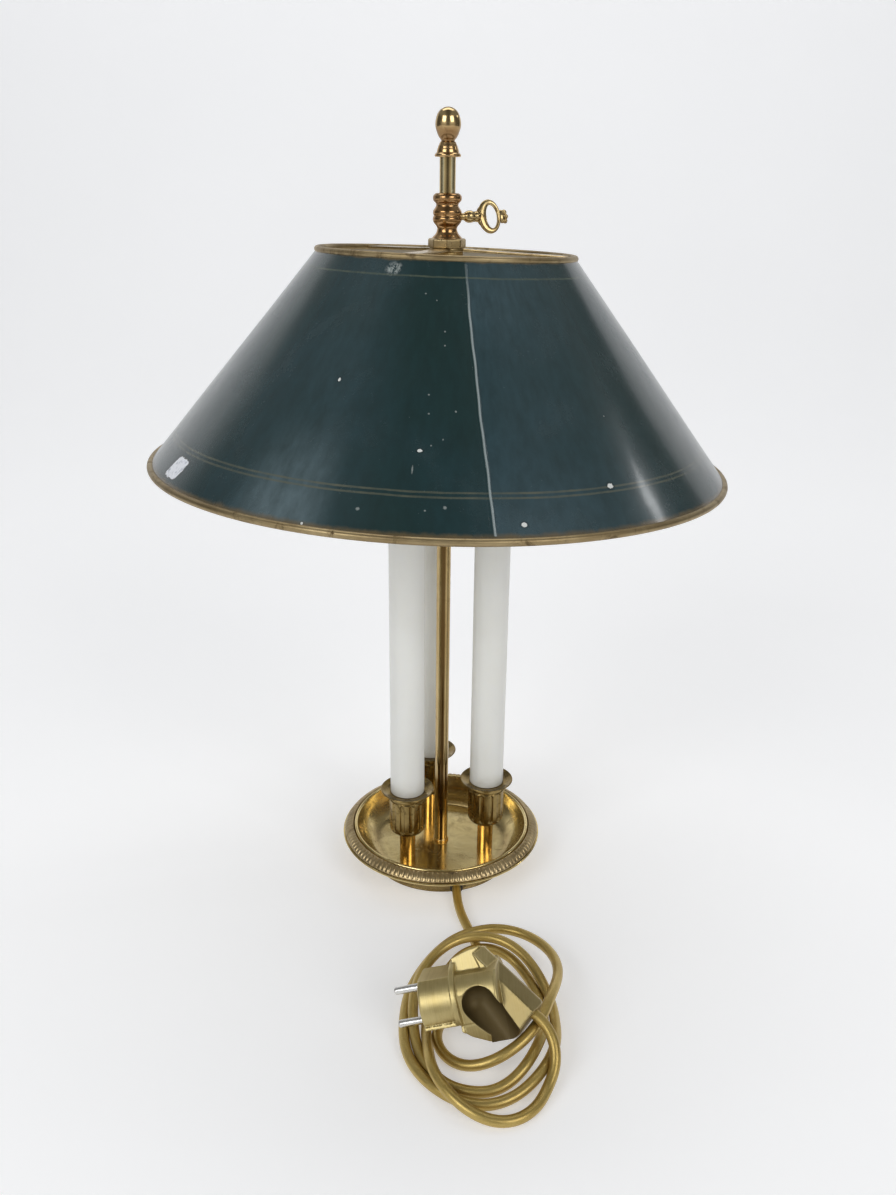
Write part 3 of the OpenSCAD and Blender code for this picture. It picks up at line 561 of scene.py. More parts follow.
    # painted window reflection near the lower left: a bright bluish-white slanted oblong with a dark rim, which also
    # gets the chips' rougher, sunken surface
    du = m.math("MULTIPLY", m.math("SUBTRACT", u, (-148.6 % 360) / 360), 2 * math.pi * 180.5)
    dt = m.math("MULTIPLY", m.math("SUBTRACT", t, 158.0 * MM), 1000)
    sk = m.math("ADD", du, m.math("MULTIPLY", dt, 0.35))
    ax, ay = m.math("DIVIDE", m.math("ABSOLUTE", sk), 8.9), m.math("DIVIDE", m.math("ABSOLUTE", dt), 7.2)
    ob = m.math("POWER", m.math("ADD", m.math("POWER", ax, 5.0), m.math("POWER", ay, 5.0)), 0.2)
    ob = m.math("ADD", ob, m.math("MULTIPLY", m.math("SUBTRACT", m.noise(o, 260, 5, 0.7), 0.5), 0.62))
    painted_window_reflection = m.rng(ob, 1.02, 0.94, 0, 1)
    dust = m.rng(m.voronoi(o, 300), 0.055, 0.03, 0, 0.75)
    dust = m.math("MULTIPLY", dust, m.rng(m.noise(o, 24, 3), 0.56, 0.66, 0, 1))
    bare_and_painted_reflection = m.math("MAXIMUM", m.math("MAXIMUM", chip, patch), painted_window_reflection, clamp=True)
    col = m.mix(m.math("MULTIPLY", halo, 0.6), col, (0.006, 0.010, 0.010))
    col = m.mix(dust, col, (0.24, 0.29, 0.29))
    col = m.mix(nick, col, (0.52, 0.56, 0.54))
    pale = m.mix(m.noise(o, 700, 3), (0.60, 0.63, 0.60), (0.86, 0.87, 0.85))
    pale = m.mix(patch, pale, (0.42, 0.52, 0.48))
    pale = m.mix(painted_window_reflection, pale, m.mix(m.rng(m.noise(m.mapping(o, scale=(1, 1, 0.35)), 420, 4, 0.7), 0.52, 0.68), (0.90, 0.92, 0.97), (0.42, 0.45, 0.52)))
    # the dark rim round the painted window reflection
    rim_dark = m.math("MULTIPLY", m.rng(ob, 1.22, 1.04, 0, 1, smooth=True), 0.8)
    col = m.mix(rim_dark, col, (0.006, 0.009, 0.010))
    col = m.mix(bare_and_painted_reflection, col, pale)
    height = m.math("SUBTRACT", height, m.math("MULTIPLY", bare_and_painted_reflection, 1.4))
    if seam:
        along = m.noise(m.mapping(m.join(m.math("MULTIPLY", u, 2000.0), m.math("MULTIPLY", t, 90.0), 0.0)), 1.0, 4, 0.65)
        worn_line = m.math("MULTIPLY", m.rng(along, 0.36, 0.60, 0.35, 1.0), m.rng(t, 0.006, 0.040, 0.30, 1.0, smooth=True))
        du = m.math("ABSOLUTE", m.math("SUBTRACT", u, 0.5))
        crest = m.rng(du, 0.20, 0.05, 0, 1, smooth=True)
        col = m.mix(m.math("MULTIPLY", worn_line, crest), col, (0.40, 0.46, 0.46))
    rough = m.math("ADD", rough, m.math("MULTIPLY", bare_and_painted_reflection, 0.25), clamp=True)
    dents = m.noise(o, 16, 2, 0.4)
    n1 = m.bump(dents, 0.22, 0.004)
    m.set(base=col, rough=rough, normal=m.bump(height, 0.16, 0.00022, n1), coat=0.35, coat_rough=0.11, spec=0.4)
    return m


mat_shade, mat_shade_in, mat_seam = shade_material(), shade_material(inside=True), shade_material(seam=True)


def sleeve_material():
    m = Mat("candle_enamel")
    v = m.mapping(m.obj, loc=(0.9, 0.1, 0.4))
    x, y, z = m.xyz(m.obj)
    tone = m.mix(m.rng(m.noise(v, 14, 4), 0.35, 0.65), (0.80, 0.795, 0.745), (0.84, 0.84, 0.80))
    # the candle is darker and browner just above its cup
    foot_darkening = m.math("MULTIPLY", m.rng(z, 0.086, 0.069, 0, 1, smooth=True), m.rng(m.noise(v, 130, 5, 0.65), 0.35, 0.7, 0.2, 0.9))
    tone = m.mix(m.math("MULTIPLY", foot_darkening, 0.35), tone, (0.46, 0.40, 0.27))
    marks = m.ramp(m.noise(m.mapping(v, scale=(1, 1, 0.25)), 120, 6, 0.7, 0.8), [(0.62, 0), (0.78, 1)])
    tone = m.mix(m.math("MULTIPLY", marks, 0.10), tone, (0.50, 0.47, 0.38))
    fine = m.noise(v, 500, 4)
    m.set(base=tone, rough=m.rng(fine, 0.3, 0.7, 0.30, 0.40), sss=0.08, sss_scale=0.004, spec=0.4,
          normal=m.bump(m.math("ADD", m.math("MULTIPLY", fine, 0.4), m.noise(v, 70, 2)), 0.08, 0.0003), coat=0.15, coat_rough=0.25)
    m.b.inputs["Subsurface Radius"].default_value = (1.0, 0.8, 0.5)
    return m


mat_sleeve = sleeve_material()


def cord_material():
    """Gold metallic plastic: mica flecks in a clear sheath, with a faint noisy bump."""
    m = Mat("cord_gold")
    v = m.obj
    cloud = m.noise(v, 30, 4, 0.6)
    tone = m.mix(m.rng(cloud, 0.35, 0.65), (0.42, 0.29, 0.070), (0.56, 0.405, 0.122))
    fleck = m.noise(v, 2600, 2, 0.7)
    tone = m.mix(m.rng(fleck, 0.45, 0.75, 0, 0.55), tone, (0.72, 0.58, 0.26))
    scuff = m.ramp(m.noise(v, 150, 6, 0.7, 0.7), [(0.60, 0), (0.76, 1)])
    tone = m.mix(m.math("MULTIPLY", scuff, 0.12), tone, (0.26, 0.18, 0.06))
    rr = m.math("ADD", m.rng(m.noise(v, 300, 4), 0.3, 0.7, 0.36, 0.44), m.math("MULTIPLY", scuff, 0.05))
    m.set(base=tone, metallic=0.82, rough=rr, coat=0.15, coat_rough=0.22, normal=m.bump(m.math("ADD", m.noise(v, 120, 3), m.math("MULTIPLY", fleck, 0.5)), 0.05, 0.0003))
    return m


mat_cord = cord_material()


def plug_material():
    """Metallic gold moulding with fine hairline brushing across the body."""
    m = Mat("plug_gold")
    v = m.obj
    turn = Matrix.Rotation(math.radians(48.3), 3, "X") @ Matrix.Rotation(math.radians(9.9), 3, "Z") @ Matrix.Rotation(math.radians(-14), 3, "Y")
    e = turn.inverted().to_euler()
    lo = m.mapping(v, rot=(e.x, e.y, e.z))
    hair = m.noise(m.mapping(lo, scale=(1, 0.035, 0.035)), 1700, 4, 0.7)
    hair2 = m.noise(m.mapping(lo, scale=(1, 0.02, 0.02)), 420, 3, 0.6)
    cloud = m.noise(v, 60, 5, 0.6)
    tone = m.mix(m.rng(cloud, 0.35, 0.65), (0.42, 0.325, 0.125), (0.54, 0.44, 0.195))
    tone = m.mix(m.rng(hair, 0.35, 0.7, 0, 0.38), tone, (0.72, 0.61, 0.33))
    tone = m.mix(m.rng(hair2, 0.55, 0.75, 0, 0.30), tone, (0.26, 0.18, 0.06))
    # the hollow for the finger is dull, with painted shade making it dark brown in the recess; the arm darker than the
    # round body
    px, py, pz = m.xyz(lo)
    at = turn.inverted() @ Vector((-0.0069, -0.1969, 0.0257))
    dx, dy = m.math("SUBTRACT", px, at.x + 0.0361), m.math("SUBTRACT", py, at.y - 0.0059)
    dz = m.math("SUBTRACT", m.math("ABSOLUTE", m.math("SUBTRACT", pz, at.z)), 0.0155)
    across = m.math("ADD", m.math("MULTIPLY", dx, 0.8805), m.math("MULTIPLY", dy, 0.4741))
    along = m.math("SUBTRACT", m.math("MULTIPLY", dx, 0.4741), m.math("MULTIPLY", dy, 0.8805))
    along = m.math("MINIMUM", along, 0.0)
    far = m.math("SQRT", m.math("ADD", m.math("ADD", m.math("MULTIPLY", across, across), m.math("MULTIPLY", along, along)), m.math("MULTIPLY", dz, dz)))
    hollow = m.rng(far, 0.01085, 0.01055, 0, 1, smooth=True)
    arm = m.rng(px, at.x + 0.0482, at.x + 0.0492, 0, 1, smooth=True)
    tone = m.mix(m.math("MULTIPLY", arm, 0.55), tone, (0.20, 0.145, 0.055))
    tone = m.mix(m.math("MULTIPLY", hollow, 0.90), tone, (0.085, 0.055, 0.018))
    rr = m.rng(m.math("ADD", m.math("MULTIPLY", hair, 0.6), m.math("MULTIPLY", cloud, 0.4)), 0.3, 0.7, 0.30, 0.46)
    rr = m.math("ADD", rr, m.math("MULTIPLY", hollow, 0.22))
    h = m.math("ADD", m.math("MULTIPLY", hair, 0.55), m.math("MULTIPLY", hair2, 0.45))
    m.set(base=tone, metallic=0.85, rough=rr, normal=m.bump(h, 0.22, 0.00025), coat=0.12, coat_rough=0.3)
    return m


mat_plug = plug_material()


def simple(name, a, b, rough=(0.3, 0.5), metallic=0.0, scale=120, bump=0.15, dist=0.0003, stretch=(1, 1, 1), **kw):
    m = Mat(name)
    v = m.mapping(m.obj, scale=stretch)
    n1, n2 = m.noise(v, scale, 6, 0.65, 0.4), m.noise(v, scale * 6, 4, 0.6)
    m.set(base=m.mix(m.rng(n1, 0.3, 0.7), a, b), metallic=metallic, rough=m.rng(n2, 0.3, 0.7, rough[0], rough[1]),
          normal=m.bump(m.math("ADD", n1, m.math("MULTIPLY", n2, 0.6)), bump, dist), **kw)
    return m


mat_nickel = simple("nickel_plate", (0.66, 0.64, 0.60), (0.80, 0.79, 0.76), (0.16, 0.32), 1.0, 90, 0.10, 0.0001)
mat_pin = simple("nickel_pins", (0.60, 0.585, 0.55), (0.82, 0.81, 0.78), (0.20, 0.36), 1.0, 140, 0.16, 0.0001, (0.08, 1, 1))
mat_iron = simple("black_iron", (0.030, 0.028, 0.026), (0.065, 0.060, 0.055), (0.45, 0.7), 0.2, 180, 0.5, 0.0006)
mat_plastic = simple("socket_plastic", (0.70, 0.665, 0.56), (0.78, 0.75, 0.66), (0.35, 0.5), 0.0, 60, 0.12, 0.0003)
mat_rubber = simple("black_rubber", (0.012, 0.012, 0.012), (0.03, 0.028, 0.026), (0.5, 0.7), 0.0, 200, 0.3, 0.0003)
mat_lead = simple("lead_sheath", (0.05, 0.11, 0.25), (0.08, 0.16, 0.34), (0.35, 0.5), 0.0, 200, 0.12, 0.0002)
mat_core = simple("core_sheath", (0.14, 0.075, 0.035), (0.20, 0.11, 0.05), (0.35, 0.5), 0.0, 200, 0.12, 0.0002)


def felt_material():
    m = Mat("green_felt")
    v = m.obj
    fibre = m.noise(m.mapping(v, scale=(1, 1, 0.4)), 1500, 6, 0.8, 1.6)
    mat = m.noise(v, 220, 6, 0.7, 0.8)
    col = m.mix(m.rng(fibre, 0.3, 0.7), (0.018, 0.050, 0.028), (0.045, 0.105, 0.062))
    col = m.mix(m.rng(mat, 0.55, 0.8, 0, 0.5), col, (0.075, 0.115, 0.080))
    m.set(base=col, rough=0.95, sheen=0.45, sheen_rough=0.5, normal=m.bump(m.math("ADD", fibre, mat), 0.7, 0.0006), spec=0.2)
    return m


mat_felt = felt_material()


def glass_material():
    m = Mat("bulb_frosted")
    v = m.obj
    n = m.noise(v, 900, 3, 0.6)
    m.set(base=m.mix(m.rng(m.noise(v, 40, 3), 0.3, 0.7), (0.80, 0.80, 0.78), (0.90, 0.90, 0.87)), rough=m.rng(n, 0.3, 0.7, 0.22, 0.34), trans=0.35,
          sss=0.3, sss_scale=0.01, normal=m.bump(n, 0.06, 0.0002))
    return m


mat_glass = glass_material()


def dress(ob, mat):
    m = mat.m if isinstance(mat, Mat) else mat
    ob.data.materials.clear()
    ob.data.materials.append(m)
    return ob


# ------------------------------------------------------------------ cord
ROUTE = [
  [12, -34, 5], [12, -46, 5], [12, -58, 5], [13, -72, 3.5], [16, -87, 3.5], [21, -102, 3.5], [26, -117, 3.5], [28, -133, 3.5], [25, -149, 3.5], [18, -164, 3.5], [8.5, -177.5, 4], [0.5, -191.5, 3.5],
  [-1, -203.5, 3.5], [2.5, -214, 3.5], [10, -223, 4], [21.5, -228.5, 6.5], [37, -228.5, 13.5], [52, -220, 19.5], [63, -207, 24.5], [69, -190, 25], [75, -172, 21], [78, -154, 17], [75, -136, 14], [66, -121, 12],
  [53, -111, 11], [38, -108, 11], [23, -112, 11], [9, -119, 10], [-4, -131, 6], [-13, -146, 3.5], [-19, -163, 3.5], [-21, -181, 3.5], [-21, -200, 3.5], [-18, -217, 3.5], [-10, -232.5, 4], [2, -244.5, 4],
  [15, -252, 3.5], [30, -254, 3.5], [45, -249, 5], [57, -239.5, 8.5], [67, -225.5, 10.5], [72, -209.5, 9.5], [73, -193, 6], [72.5, -176, 5.5], [68.5, -160, 7.5], [62, -147, 12], [53, -136, 16], [41, -128, 18],
  [27, -125, 18], [13, -127, 17], [0, -135, 14], [-10, -149, 11], [-15, -167, 10], [-16, -184, 8.5], [-14.5, -199, 5], [-11, -218, 4.5], [-2, -231, 3.5], [7, -240, 3.5], [19, -244, 3.5], [32, -244, 3.5],
  [44, -239, 7], [54, -230, 13], [61, -216, 15], [65, -201, 11], [66, -186, 5], [65.5, -171.5, 3.5], [62.5, -157.5, 3.5], [57, -143.5, 3], [49, -133.5, 7], [37, -129, 11], [24, -129.5, 11.5], [12, -136, 9],
  [4, -148.5, 4.5], [-2, -163, 3.5], [-6, -180, 3.5], [-7.5, -198, 4], [-5.5, -214.5, 9], [-4.5, -229, 12.5], [0, -242, 12], [9, -254, 10], [21, -262.5, 6.5], [35, -265.5, 3.5], [48, -262.5, 3.5], [58, -253.5, 4],
  [63.5, -243, 5], [68.5, -234.7, 10.5], [69.7, -227.3, 17.5], [67.7, -220.8, 23.6], [63.2, -215.4, 28.5], [57.2, -211.3, 31.9], [51, -208.7, 33.6]]


def route_points(control, n=5):
    p = np.array(control, float)
    p = np.vstack([2 * p[0] - p[1], p, 2 * p[-1] - p[-2]])
    out = []
    for i in range(1, len(p) - 2):
        for k in range(n):
            t = k / n
            w = np.array([(1 - t) ** 3, 3 * t**3 - 6 * t * t + 4, -3 * t**3 + 3 * t * t + 3 * t + 1, t**3]) / 6
            out.append(w @ p[i - 1:i + 3])
    out.append(np.array([1, 4, 1]) @ p[-3:] / 6)
    return np.array(out)


line = route_points(ROUTE)
curve = bpy.data.curves.new("cord_flex", "CURVE")
curve.dimensions = "3D"
curve.bevel_depth = 3.3 * MM
curve.bevel_resolution = 7
curve.use_fill_caps = True
spline = curve.splines.new("POLY")
spline.points.add(len(line) - 1)
for pt, co in zip(spline.points, line):
    pt.co = (co[0] * MM, co[1] * MM, co[2] * MM, 1)
spline.use_smooth = True
cord = link(bpy.data.objects.new("cord_flex", curve))
curve.materials.append(mat_cord.m)
stands_for(cord, "lamp", "cord_gold", "cord")

# ------------------------------------------------------------------ foot, dish, gadroons
AZ = {"left": -135.4, "right": -15.4, "rear": 104.6}
CANDLE = {k: (35.1 * math.cos(math.radians(a)), 35.1 * math.sin(math.radians(a))) for k, a in AZ.items()}

dish_profile = [(5.06, 9.6), (30, 9.6), (47.2, 9.6)] + flow([(48.4, 9.66), (50, 9.9), (53, 11.2), (56, 13.4), (59, 16.4), (61.5, 20), (63.3, 24), (64.2, 26.2),
    (64.5, 27.1), (65.2, 27.7), (66.0, 27.8), (66.7, 27.4), (67.1, 26.6)], 4, 60) + flow([(67.25, 26.3), (67.5, 25.9), (69.2, 25.05), (73.7, 21.7)], 2, 60)[1:] + flow([
    (73.9, 21.75), (74.9, 21.9), (75.55, 21.4), (75.4, 20.6), (74.6, 20.2), (74, 20.1), (71, 21.8), (67, 23.4), (64.8, 22.6), (62.6, 18.6), (60, 14.8), (57, 11.8), (54, 9.7),
    (50.5, 8.6), (48, 8.4)], 3, 60) + [(5.06, 8.4)]
dish = lathe("dish_spun", dish_profile, 256)
for k, (cx, cy) in CANDLE.items():
    cut_with(dish, rod(5.06, (cx, cy, 0), (cx, cy, 20), 48))
flatten_shading(dish, 40)
dress(dish, mat_dish)
stands_for(dish, "lamp", "dish_brass", "base_dish")

LOBES = 126


def gadroon(a, r, z, s):
    x = (a * LOBES / (2 * math.pi)) % 1.0 * 2 - 1
    crown = math.sqrt(max(0.0, 1 - abs(x) ** 2.4))
    # the lobes swell on the outer slope and die out at the inner edge and the lip
    w = max(0.0, min(1.0, (s - 1.3) / 1.0)) * max(0.0, min(1.0, (9.2 - s) / 1.4))
    d = (crown - 1.0) * 0.85 * w
    return d * 0.62, d * 0.78


gprof = flow([(67.75, 26.0), (67.78, 26.7), (68.05, 27.15), (68.6, 27.2), (69.0, 26.95), (69.3, 27.0), (70.3, 26.65), (71.5, 26.0), (72.5, 25.2), (73.3, 24.4), (73.9, 23.5), (74.3, 22.5), (73.95, 21.95), (73.6, 21.9)], 3, 70)
gad = lathe("gadroon_band", gprof, LOBES * 10, shape=gadroon)
dress(gad, mat_band)
stands_for(gad, "lamp", "aged_brass", "gadroon_ring")

foot = lathe("foot_drum", rounded([(52.45, 0.02), (54.3, 0.02), (54.4, 0.3), (54.4, 1.3), (54.05, 1.6), (54.05, 7.2), (54.4, 7.5), (54.4, 8.3), (54.0, 8.6), (54.0, 9.16), (52.45, 9.16)], 0.2), 256)
cut_with(foot, rod(4.12, (12, -40, 5), (12, -60, 5), 48))
flatten_shading(foot, 40)
dress(foot, mat_foot)
stands_for(foot, "lamp", "aged_brass", "foot_ring")

# ------------------------------------------------------------------ stem and candles
stem = lathe("stem_polished", rounded([(4.02, 4.2), (5, 4.2), (5, 120), (5, 240), (5, 360), (5, 505.9), (4.02, 505.9)], 0.2), 96,
             shape=lambda a, r, z, s: (0.012 * math.sin(z * 0.09 + 2 * a), 0))
dress(stem, mat_stem)
stands_for(weighted(stem), "lamp", "polished_brass", "stem_tube")
base_ring = lathe("stem_foot_ring", rounded(flow([(5.06, 9.62), (5.7, 9.62), (5.82, 10.0), (5.82, 10.6), (5.66, 11.3), (5.34, 11.9), (5.06, 12)], 3, 70), 0.1), 96)
dress(base_ring, mat_stub)
stands_for(base_ring, "lamp", "polished_brass", "stem_base_ring")

for key, (cx, cy) in CANDLE.items():
    stub = lathe("stub_" + key, rounded([(5.06, 9.62), (5.9, 9.62), (5.9, 33.48), (5.06, 33.48)], 0.2), 72, at=(cx, cy))
    dress(stub, mat_stub)
    stands_for(weighted(stub), "lamp", "polished_brass", "stub_sleeve_" + key)

    def flute(a, r, z, s, n=12):
        if r < 12.85 or z < 38.2 or z > 62.4:
            return 0, 0
        x = ((a * n / (2 * math.pi)) % 1.0 - 0.5) * 2          # 0 in the middle of a flute
        half = 0.50
        if abs(x) > half:
            return 0, 0
        # round ended channel
        end = 1.0
        if z < 41.0:
            end = max(0.0, 1 - ((41.0 - z) / 2.8) ** 2)
        if z > 59.8:
            end = max(0.0, 1 - ((z - 59.8) / 2.6) ** 2)
        e = math.sqrt(end)
        if abs(x) > half * e or e <= 0:
            return 0, 0
        return -1.05 * math.sqrt(max(0.0, 1 - (x / (half * e)) ** 2)) ** 0.8, 0

    outer = [(5.06, 33.5), (8.0, 33.5)] + flow([(8.6, 33.6), (9.9, 34.2), (11.5, 35.35), (12.7, 36.8), (13.3, 38.0)], 3, 70)
    outer += [(13.5, z) for z in np.r_[np.arange(38.6, 42.2, 0.3), np.arange(43, 59, 2.0), np.arange(59.2, 62.5, 0.3)]]
    outer += flow([(13.45, 62.8), (13.0, 63.1), (12.95, 63.5), (13.45, 63.9), (13.65, 64.5), (13.7, 65.6), (13.6, 66.4), (14.5, 67.4), (16.4, 68.55), (18.4, 69.3), (19.35, 69.7), (19.65, 70.15), (19.3, 70.55),
                   (18.6, 70.45), (17.2, 69.8), (15.4, 69.1), (14.2, 68.85)], 3, 75)
    inner = [(5.06, 68.8), (5.06, 67.6), (11.9, 67.6), (12.2, 66.4), (12.2, 39), (11.4, 37.2), (9.8, 35.7), (8.2, 35), (5.06, 34.9)]
    cup = lathe("drip_cup_" + key, outer + inner, 12 * 24, at=(cx, cy), shape=flute)
    dress(cup, mat_cup)
    stands_for(cup, "lamp", "cup_bronze", "candle_cup_" + key)

    lean = {"left": 0.15, "right": -0.12, "rear": 0.05}[key]
    sl_prof = rounded([(11.32, 68.85), (12.47, 68.85), (12.47, 110), (12.47, 160), (12.47, 210), (12.47, 260), (12.47, 323.9), (11.32, 323.9)], 0.45, 4)
    sleeve = lathe("candle_" + key, sl_prof, 96, at=(cx, cy), shape=lambda a, r, z, s: (0.02 * math.sin(3 * a + z * 0.05), 0))
    dress(sleeve, mat_sleeve)
    stands_for(weighted(sleeve), "lamp", "candle_white", "candle_sleeve_" + key)

    # bulbs: frosted glass and a threaded cap
    gp = flow([(6.2, 326.45), (7.0, 326.6), (7.4, 328), (10.2, 332.5), (13.8, 338.5), (16.4, 345), (17.5, 352), (17.2, 360), (15.6, 369), (12.8, 379), (9.2, 388), (5.6, 395.4), (3, 400), (1.2, 401.6), (0, 402)], 3, 70)
    gi = [(max(0.0, r - 0.8), z - (0.8 if r < 4 else 0.1)) for r, z in reversed(gp[3:])]
    glass = lathe("bulb_envelope_" + key, [(r, z) for r, z in gp] + gi, 64, at=(cx, cy))
    dress(glass, mat_glass)
    stands_for(glass, "bulb_" + key, "bulb_glass", "bulb_glass_" + key)

    def thread(a, r, z, s):
        if r < 6.5 or z < 304.5 or z > 322.5:
            return 0, 0
        return -0.42 * (0.5 + 0.5 * math.cos(2 * math.pi * (z - 2.82 * a / (2 * math.pi)) / 2.82)), 0

    cp = [(0, 299.8), (2.2, 299.8), (2.5, 300.1), (3, 300.7), (5.4, 302.2), (6.6, 303.1)] + [(6.95, z) for z in np.arange(304, 323.2, 0.35)] + [(7.2, 323.9), (7.6, 324.6), (7.6, 326.9), (7.2, 326.95), (7.1, 326.4), (0, 326.4)]
    cap = lathe("bulb_cap_threaded_" + key, cp, 48, at=(cx, cy), closed=False, shape=thread)
    dress(cap, mat_nickel)
    stands_for(cap, "bulb_" + key, "nickel_plate", "bulb_cap_" + key)

# ------------------------------------------------------------------ finial
bell = lathe("finial_collet", flow([(5.06, 503.65), (7.7, 503.65), (8.1, 503.95), (8.2, 504.5), (8.1, 505.1), (7.65, 505.6), (7.2, 505.95), (6.95, 506.45), (6.7, 507.6), (6.3, 508.7), (5.9, 509.9), (5.35, 511.0), (4.95, 511.95), (4.6, 512.35),
    (4.4, 512.55)], 4, 75) + [(3.06, 512.58), (3.06, 506.3), (5.06, 506.3)], 96)
dress(bell, mat_top)
stands_for(bell, "finial", "polished_brass", "finial_bell")
knob = lathe("finial_egg", [(0, 512.62), (3.0, 512.62)] + flow([(4.2, 512.64), (4.22, 513.0), (4.6, 513.6), (5.3, 514.4), (6.0, 515.5), (6.5, 516.6), (6.9, 517.7), (7.35, 518.9), (7.7, 520.0), (7.88, 521.1), (7.93, 522.3), (7.82, 523.8), (7.55, 525.2),
    (7.17, 526.6), (6.57, 528.0), (5.78, 529.2), (4.68, 530.3), (3.3, 531.15), (1.8, 531.75), (0, 531.98)], 4, 75), 96, closed=False)
dress(knob, mat_knob)
stands_for(knob, "finial", "polished_brass", "finial_knob")

# ------------------------------------------------------------------ sliding collar
neck = flow([(9.7, 456.12), (9.72, 456.35), (9.35, 456.75), (8.65, 457.5), (7.5, 458.7), (6.75, 459.9), (6.4, 461.1), (6.3, 462.3), (6.8, 463.5), (7.75, 464.6), (8.6, 465.6)], 4, 75)
neck += flow([(8.72, 465.85), (9.0, 466.6), (9.12, 467.6), (9.02, 468.5), (8.72, 469.1)], 4, 75) + flow([(8.58, 469.35), (8.5, 469.65), (8.6, 469.95)], 3, 75)
neck += flow([(8.74, 470.2), (8.98, 470.8), (9.03, 471.6), (8.93, 472.4), (8.58, 473.1), (7.85, 474.1), (7.15, 475.2), (6.98, 476.1), (7.28, 476.9), (8.1, 477.7), (8.7, 478.4), (9.0, 479.2), (9.06, 480.2), (8.88, 481.15), (8.38, 481.95), (7.7, 482.55), (6.8, 482.95)], 4, 75)
profile = [(5.07, 456.12)] + neck + [(5.07, 482.95)]
collar = lathe("collar_turned", profile, 128)
cut_with(collar, rod(2.06, (0, 0, 469), (20 * math.cos(math.radians(22)), 20 * math.sin(math.radians(22)), 469), 32))
flatten_shading(collar, 42)
dress(collar, mat_collar)
# the octagonal flange with its threaded neck below, broken edges
bm = bmesh.new()
ring = []
for zc, rc in ((450.82, 11.65), (451.15, 11.92), (455.35, 11.92), (455.95, 11.5), (456.28, 10.8)):
    row = []
    for k in range(8):
        a0 = math.radians(45 * k - 90)
        for da in (-2.0, 2.0):
            a = a0 + math.radians(da)
            # a small flat across each corner
            row.append(bm.verts.new((rc * math.cos(math.radians(2)) * math.cos(a) * MM, rc * math.cos(math.radians(2)) * math.sin(a) * MM, zc * MM)))
    ring.append(row)
for zc, rc in ((456.28, 5.07), (450.82, 5.07)):
    ring.append([bm.verts.new((rc * math.cos(math.radians(45 * k - 90 + da)) * MM, rc * math.sin(math.radians(45 * k - 90 + da)) * MM, zc * MM)) for k in range(8) for da in (-2.0, 2.0)])
for i in range(len(ring)):
    a, b = ring[i], ring[(i + 1) % len(ring)]
    for j in range(16):
        bm.faces.new((a[j], a[(j + 1) % 16], b[(j + 1) % 16], b[j]))
bmesh.ops.recalc_face_normals(bm, faces=bm.faces)
me = bpy.data.meshes.new("collar_octagon")
bm.to_mesh(me)
bm.free()
octagon = link(bpy.data.objects.new("collar_octagon", me))
bevel(octagon, 0.22, 2, 20)
apply_modifiers(octagon)
flatten_shading(octagon, 30)
weighted(octagon)
dress(octagon, mat_spider)
tail = lathe("collar_tail", rounded([(5.07, 444.1), (7.1, 444.1), (7.45, 444.5)] + [(7.45 - 0.28 * (k % 2), 444.9 + 0.42 * k) for k in range(14)] + [(7.45, 450.8), (5.07, 450.8)], 0.08, 2), 64)
dress(tail, mat_hidden)
octagon.parent = collar
tail.parent = collar
stands_for(collar, "collar", "polished_brass", "slider_collar")

nut = lathe("collar_nut", rounded([(7.55, 445.25), (9.9, 445.25), (10.35, 445.7), (10.35, 447.9), (9.9, 448.38), (7.55, 448.38)], 0.25),  96,
            shape=lambda a, r, z, s: ((-0.22 * max(0, math.cos(36 * a)) if r > 10.2 else 0), 0))
dress(nut, mat_hidden)
stands_for(nut, "collar", "polished_brass", "collar_ring_nut")

# ------------------------------------------------------------------ key
K = (Matrix.Translation((0, 0, 469)) @ Matrix.Rotation(math.radians(22), 4, "Z") @ Matrix.Rotation(math.radians(-20), 4, "X"))
shank_m = K @ Matrix.Rotation(math.radians(90), 4, "Y")
shank = lathe("key_shank", [(0, 5.36), (1.6, 5.36), (2.0, 5.8)] + [(2.0 - 0.22 * (k % 2), 6.0 + 0.35 * k) for k in range(9)] + flow([(2.0, 9.2), (2.12, 9.5), (2.15, 11.2), (2.65, 11.9), (3.35, 13.1), (3.72, 14.4), (3.74, 15.4), (3.6, 16.5), (3.27, 17.5),
    (3.1, 18.2), (3.32, 19.2), (3.28, 20.3), (2.45, 21.9), (1.6, 22.65), (0, 22.75)], 3, 75), 48, matrix=shank_m, closed=False)
dress(shank, mat_key)


def ring_tube(name, centre_fn, radius_fn, n=72, k=16, closed=True):
    """A closed tube along a loop, with its own section at each place."""
    verts, faces = [], []
    for i in range(n):
        c = Vector(centre_fn(i / n))
        d = (Vector(centre_fn((i + 1) / n)) - Vector(centre_fn((i - 1) / n))).normalized()
        side = Vector((0, 1, 0))
        up = side.cross(d).normalized()
        rw, rt = radius_fn(i / n)
        for j in range(k):
            a = 2 * math.pi * j / k
            ca, sa = math.cos(a), math.sin(a)
            verts.append(c + up * (rw * math.copysign(abs(ca) ** 0.72, ca)) + side * (rt * math.copysign(abs(sa) ** 0.72, sa)))
    for i in range(n):
        for j in range(k):
            faces.append((i * k + j, ((i + 1) % n) * k + j, ((i + 1) % n) * k + (j + 1) % k, i * k + (j + 1) % k))
    return verts, faces


def bow_c(t):
    a = 2 * math.pi * t
    return (29.5 + 5.75 * math.cos(a), 0, 8.95 * math.sin(a))


def bow_r(t):
    # thick next to the shank, thin under the crest
    a = 2 * math.pi * t
    return 0.5 * math.hypot(-1.7 + 3.85 * math.cos(a), 2.9 * math.sin(a)), 1.5


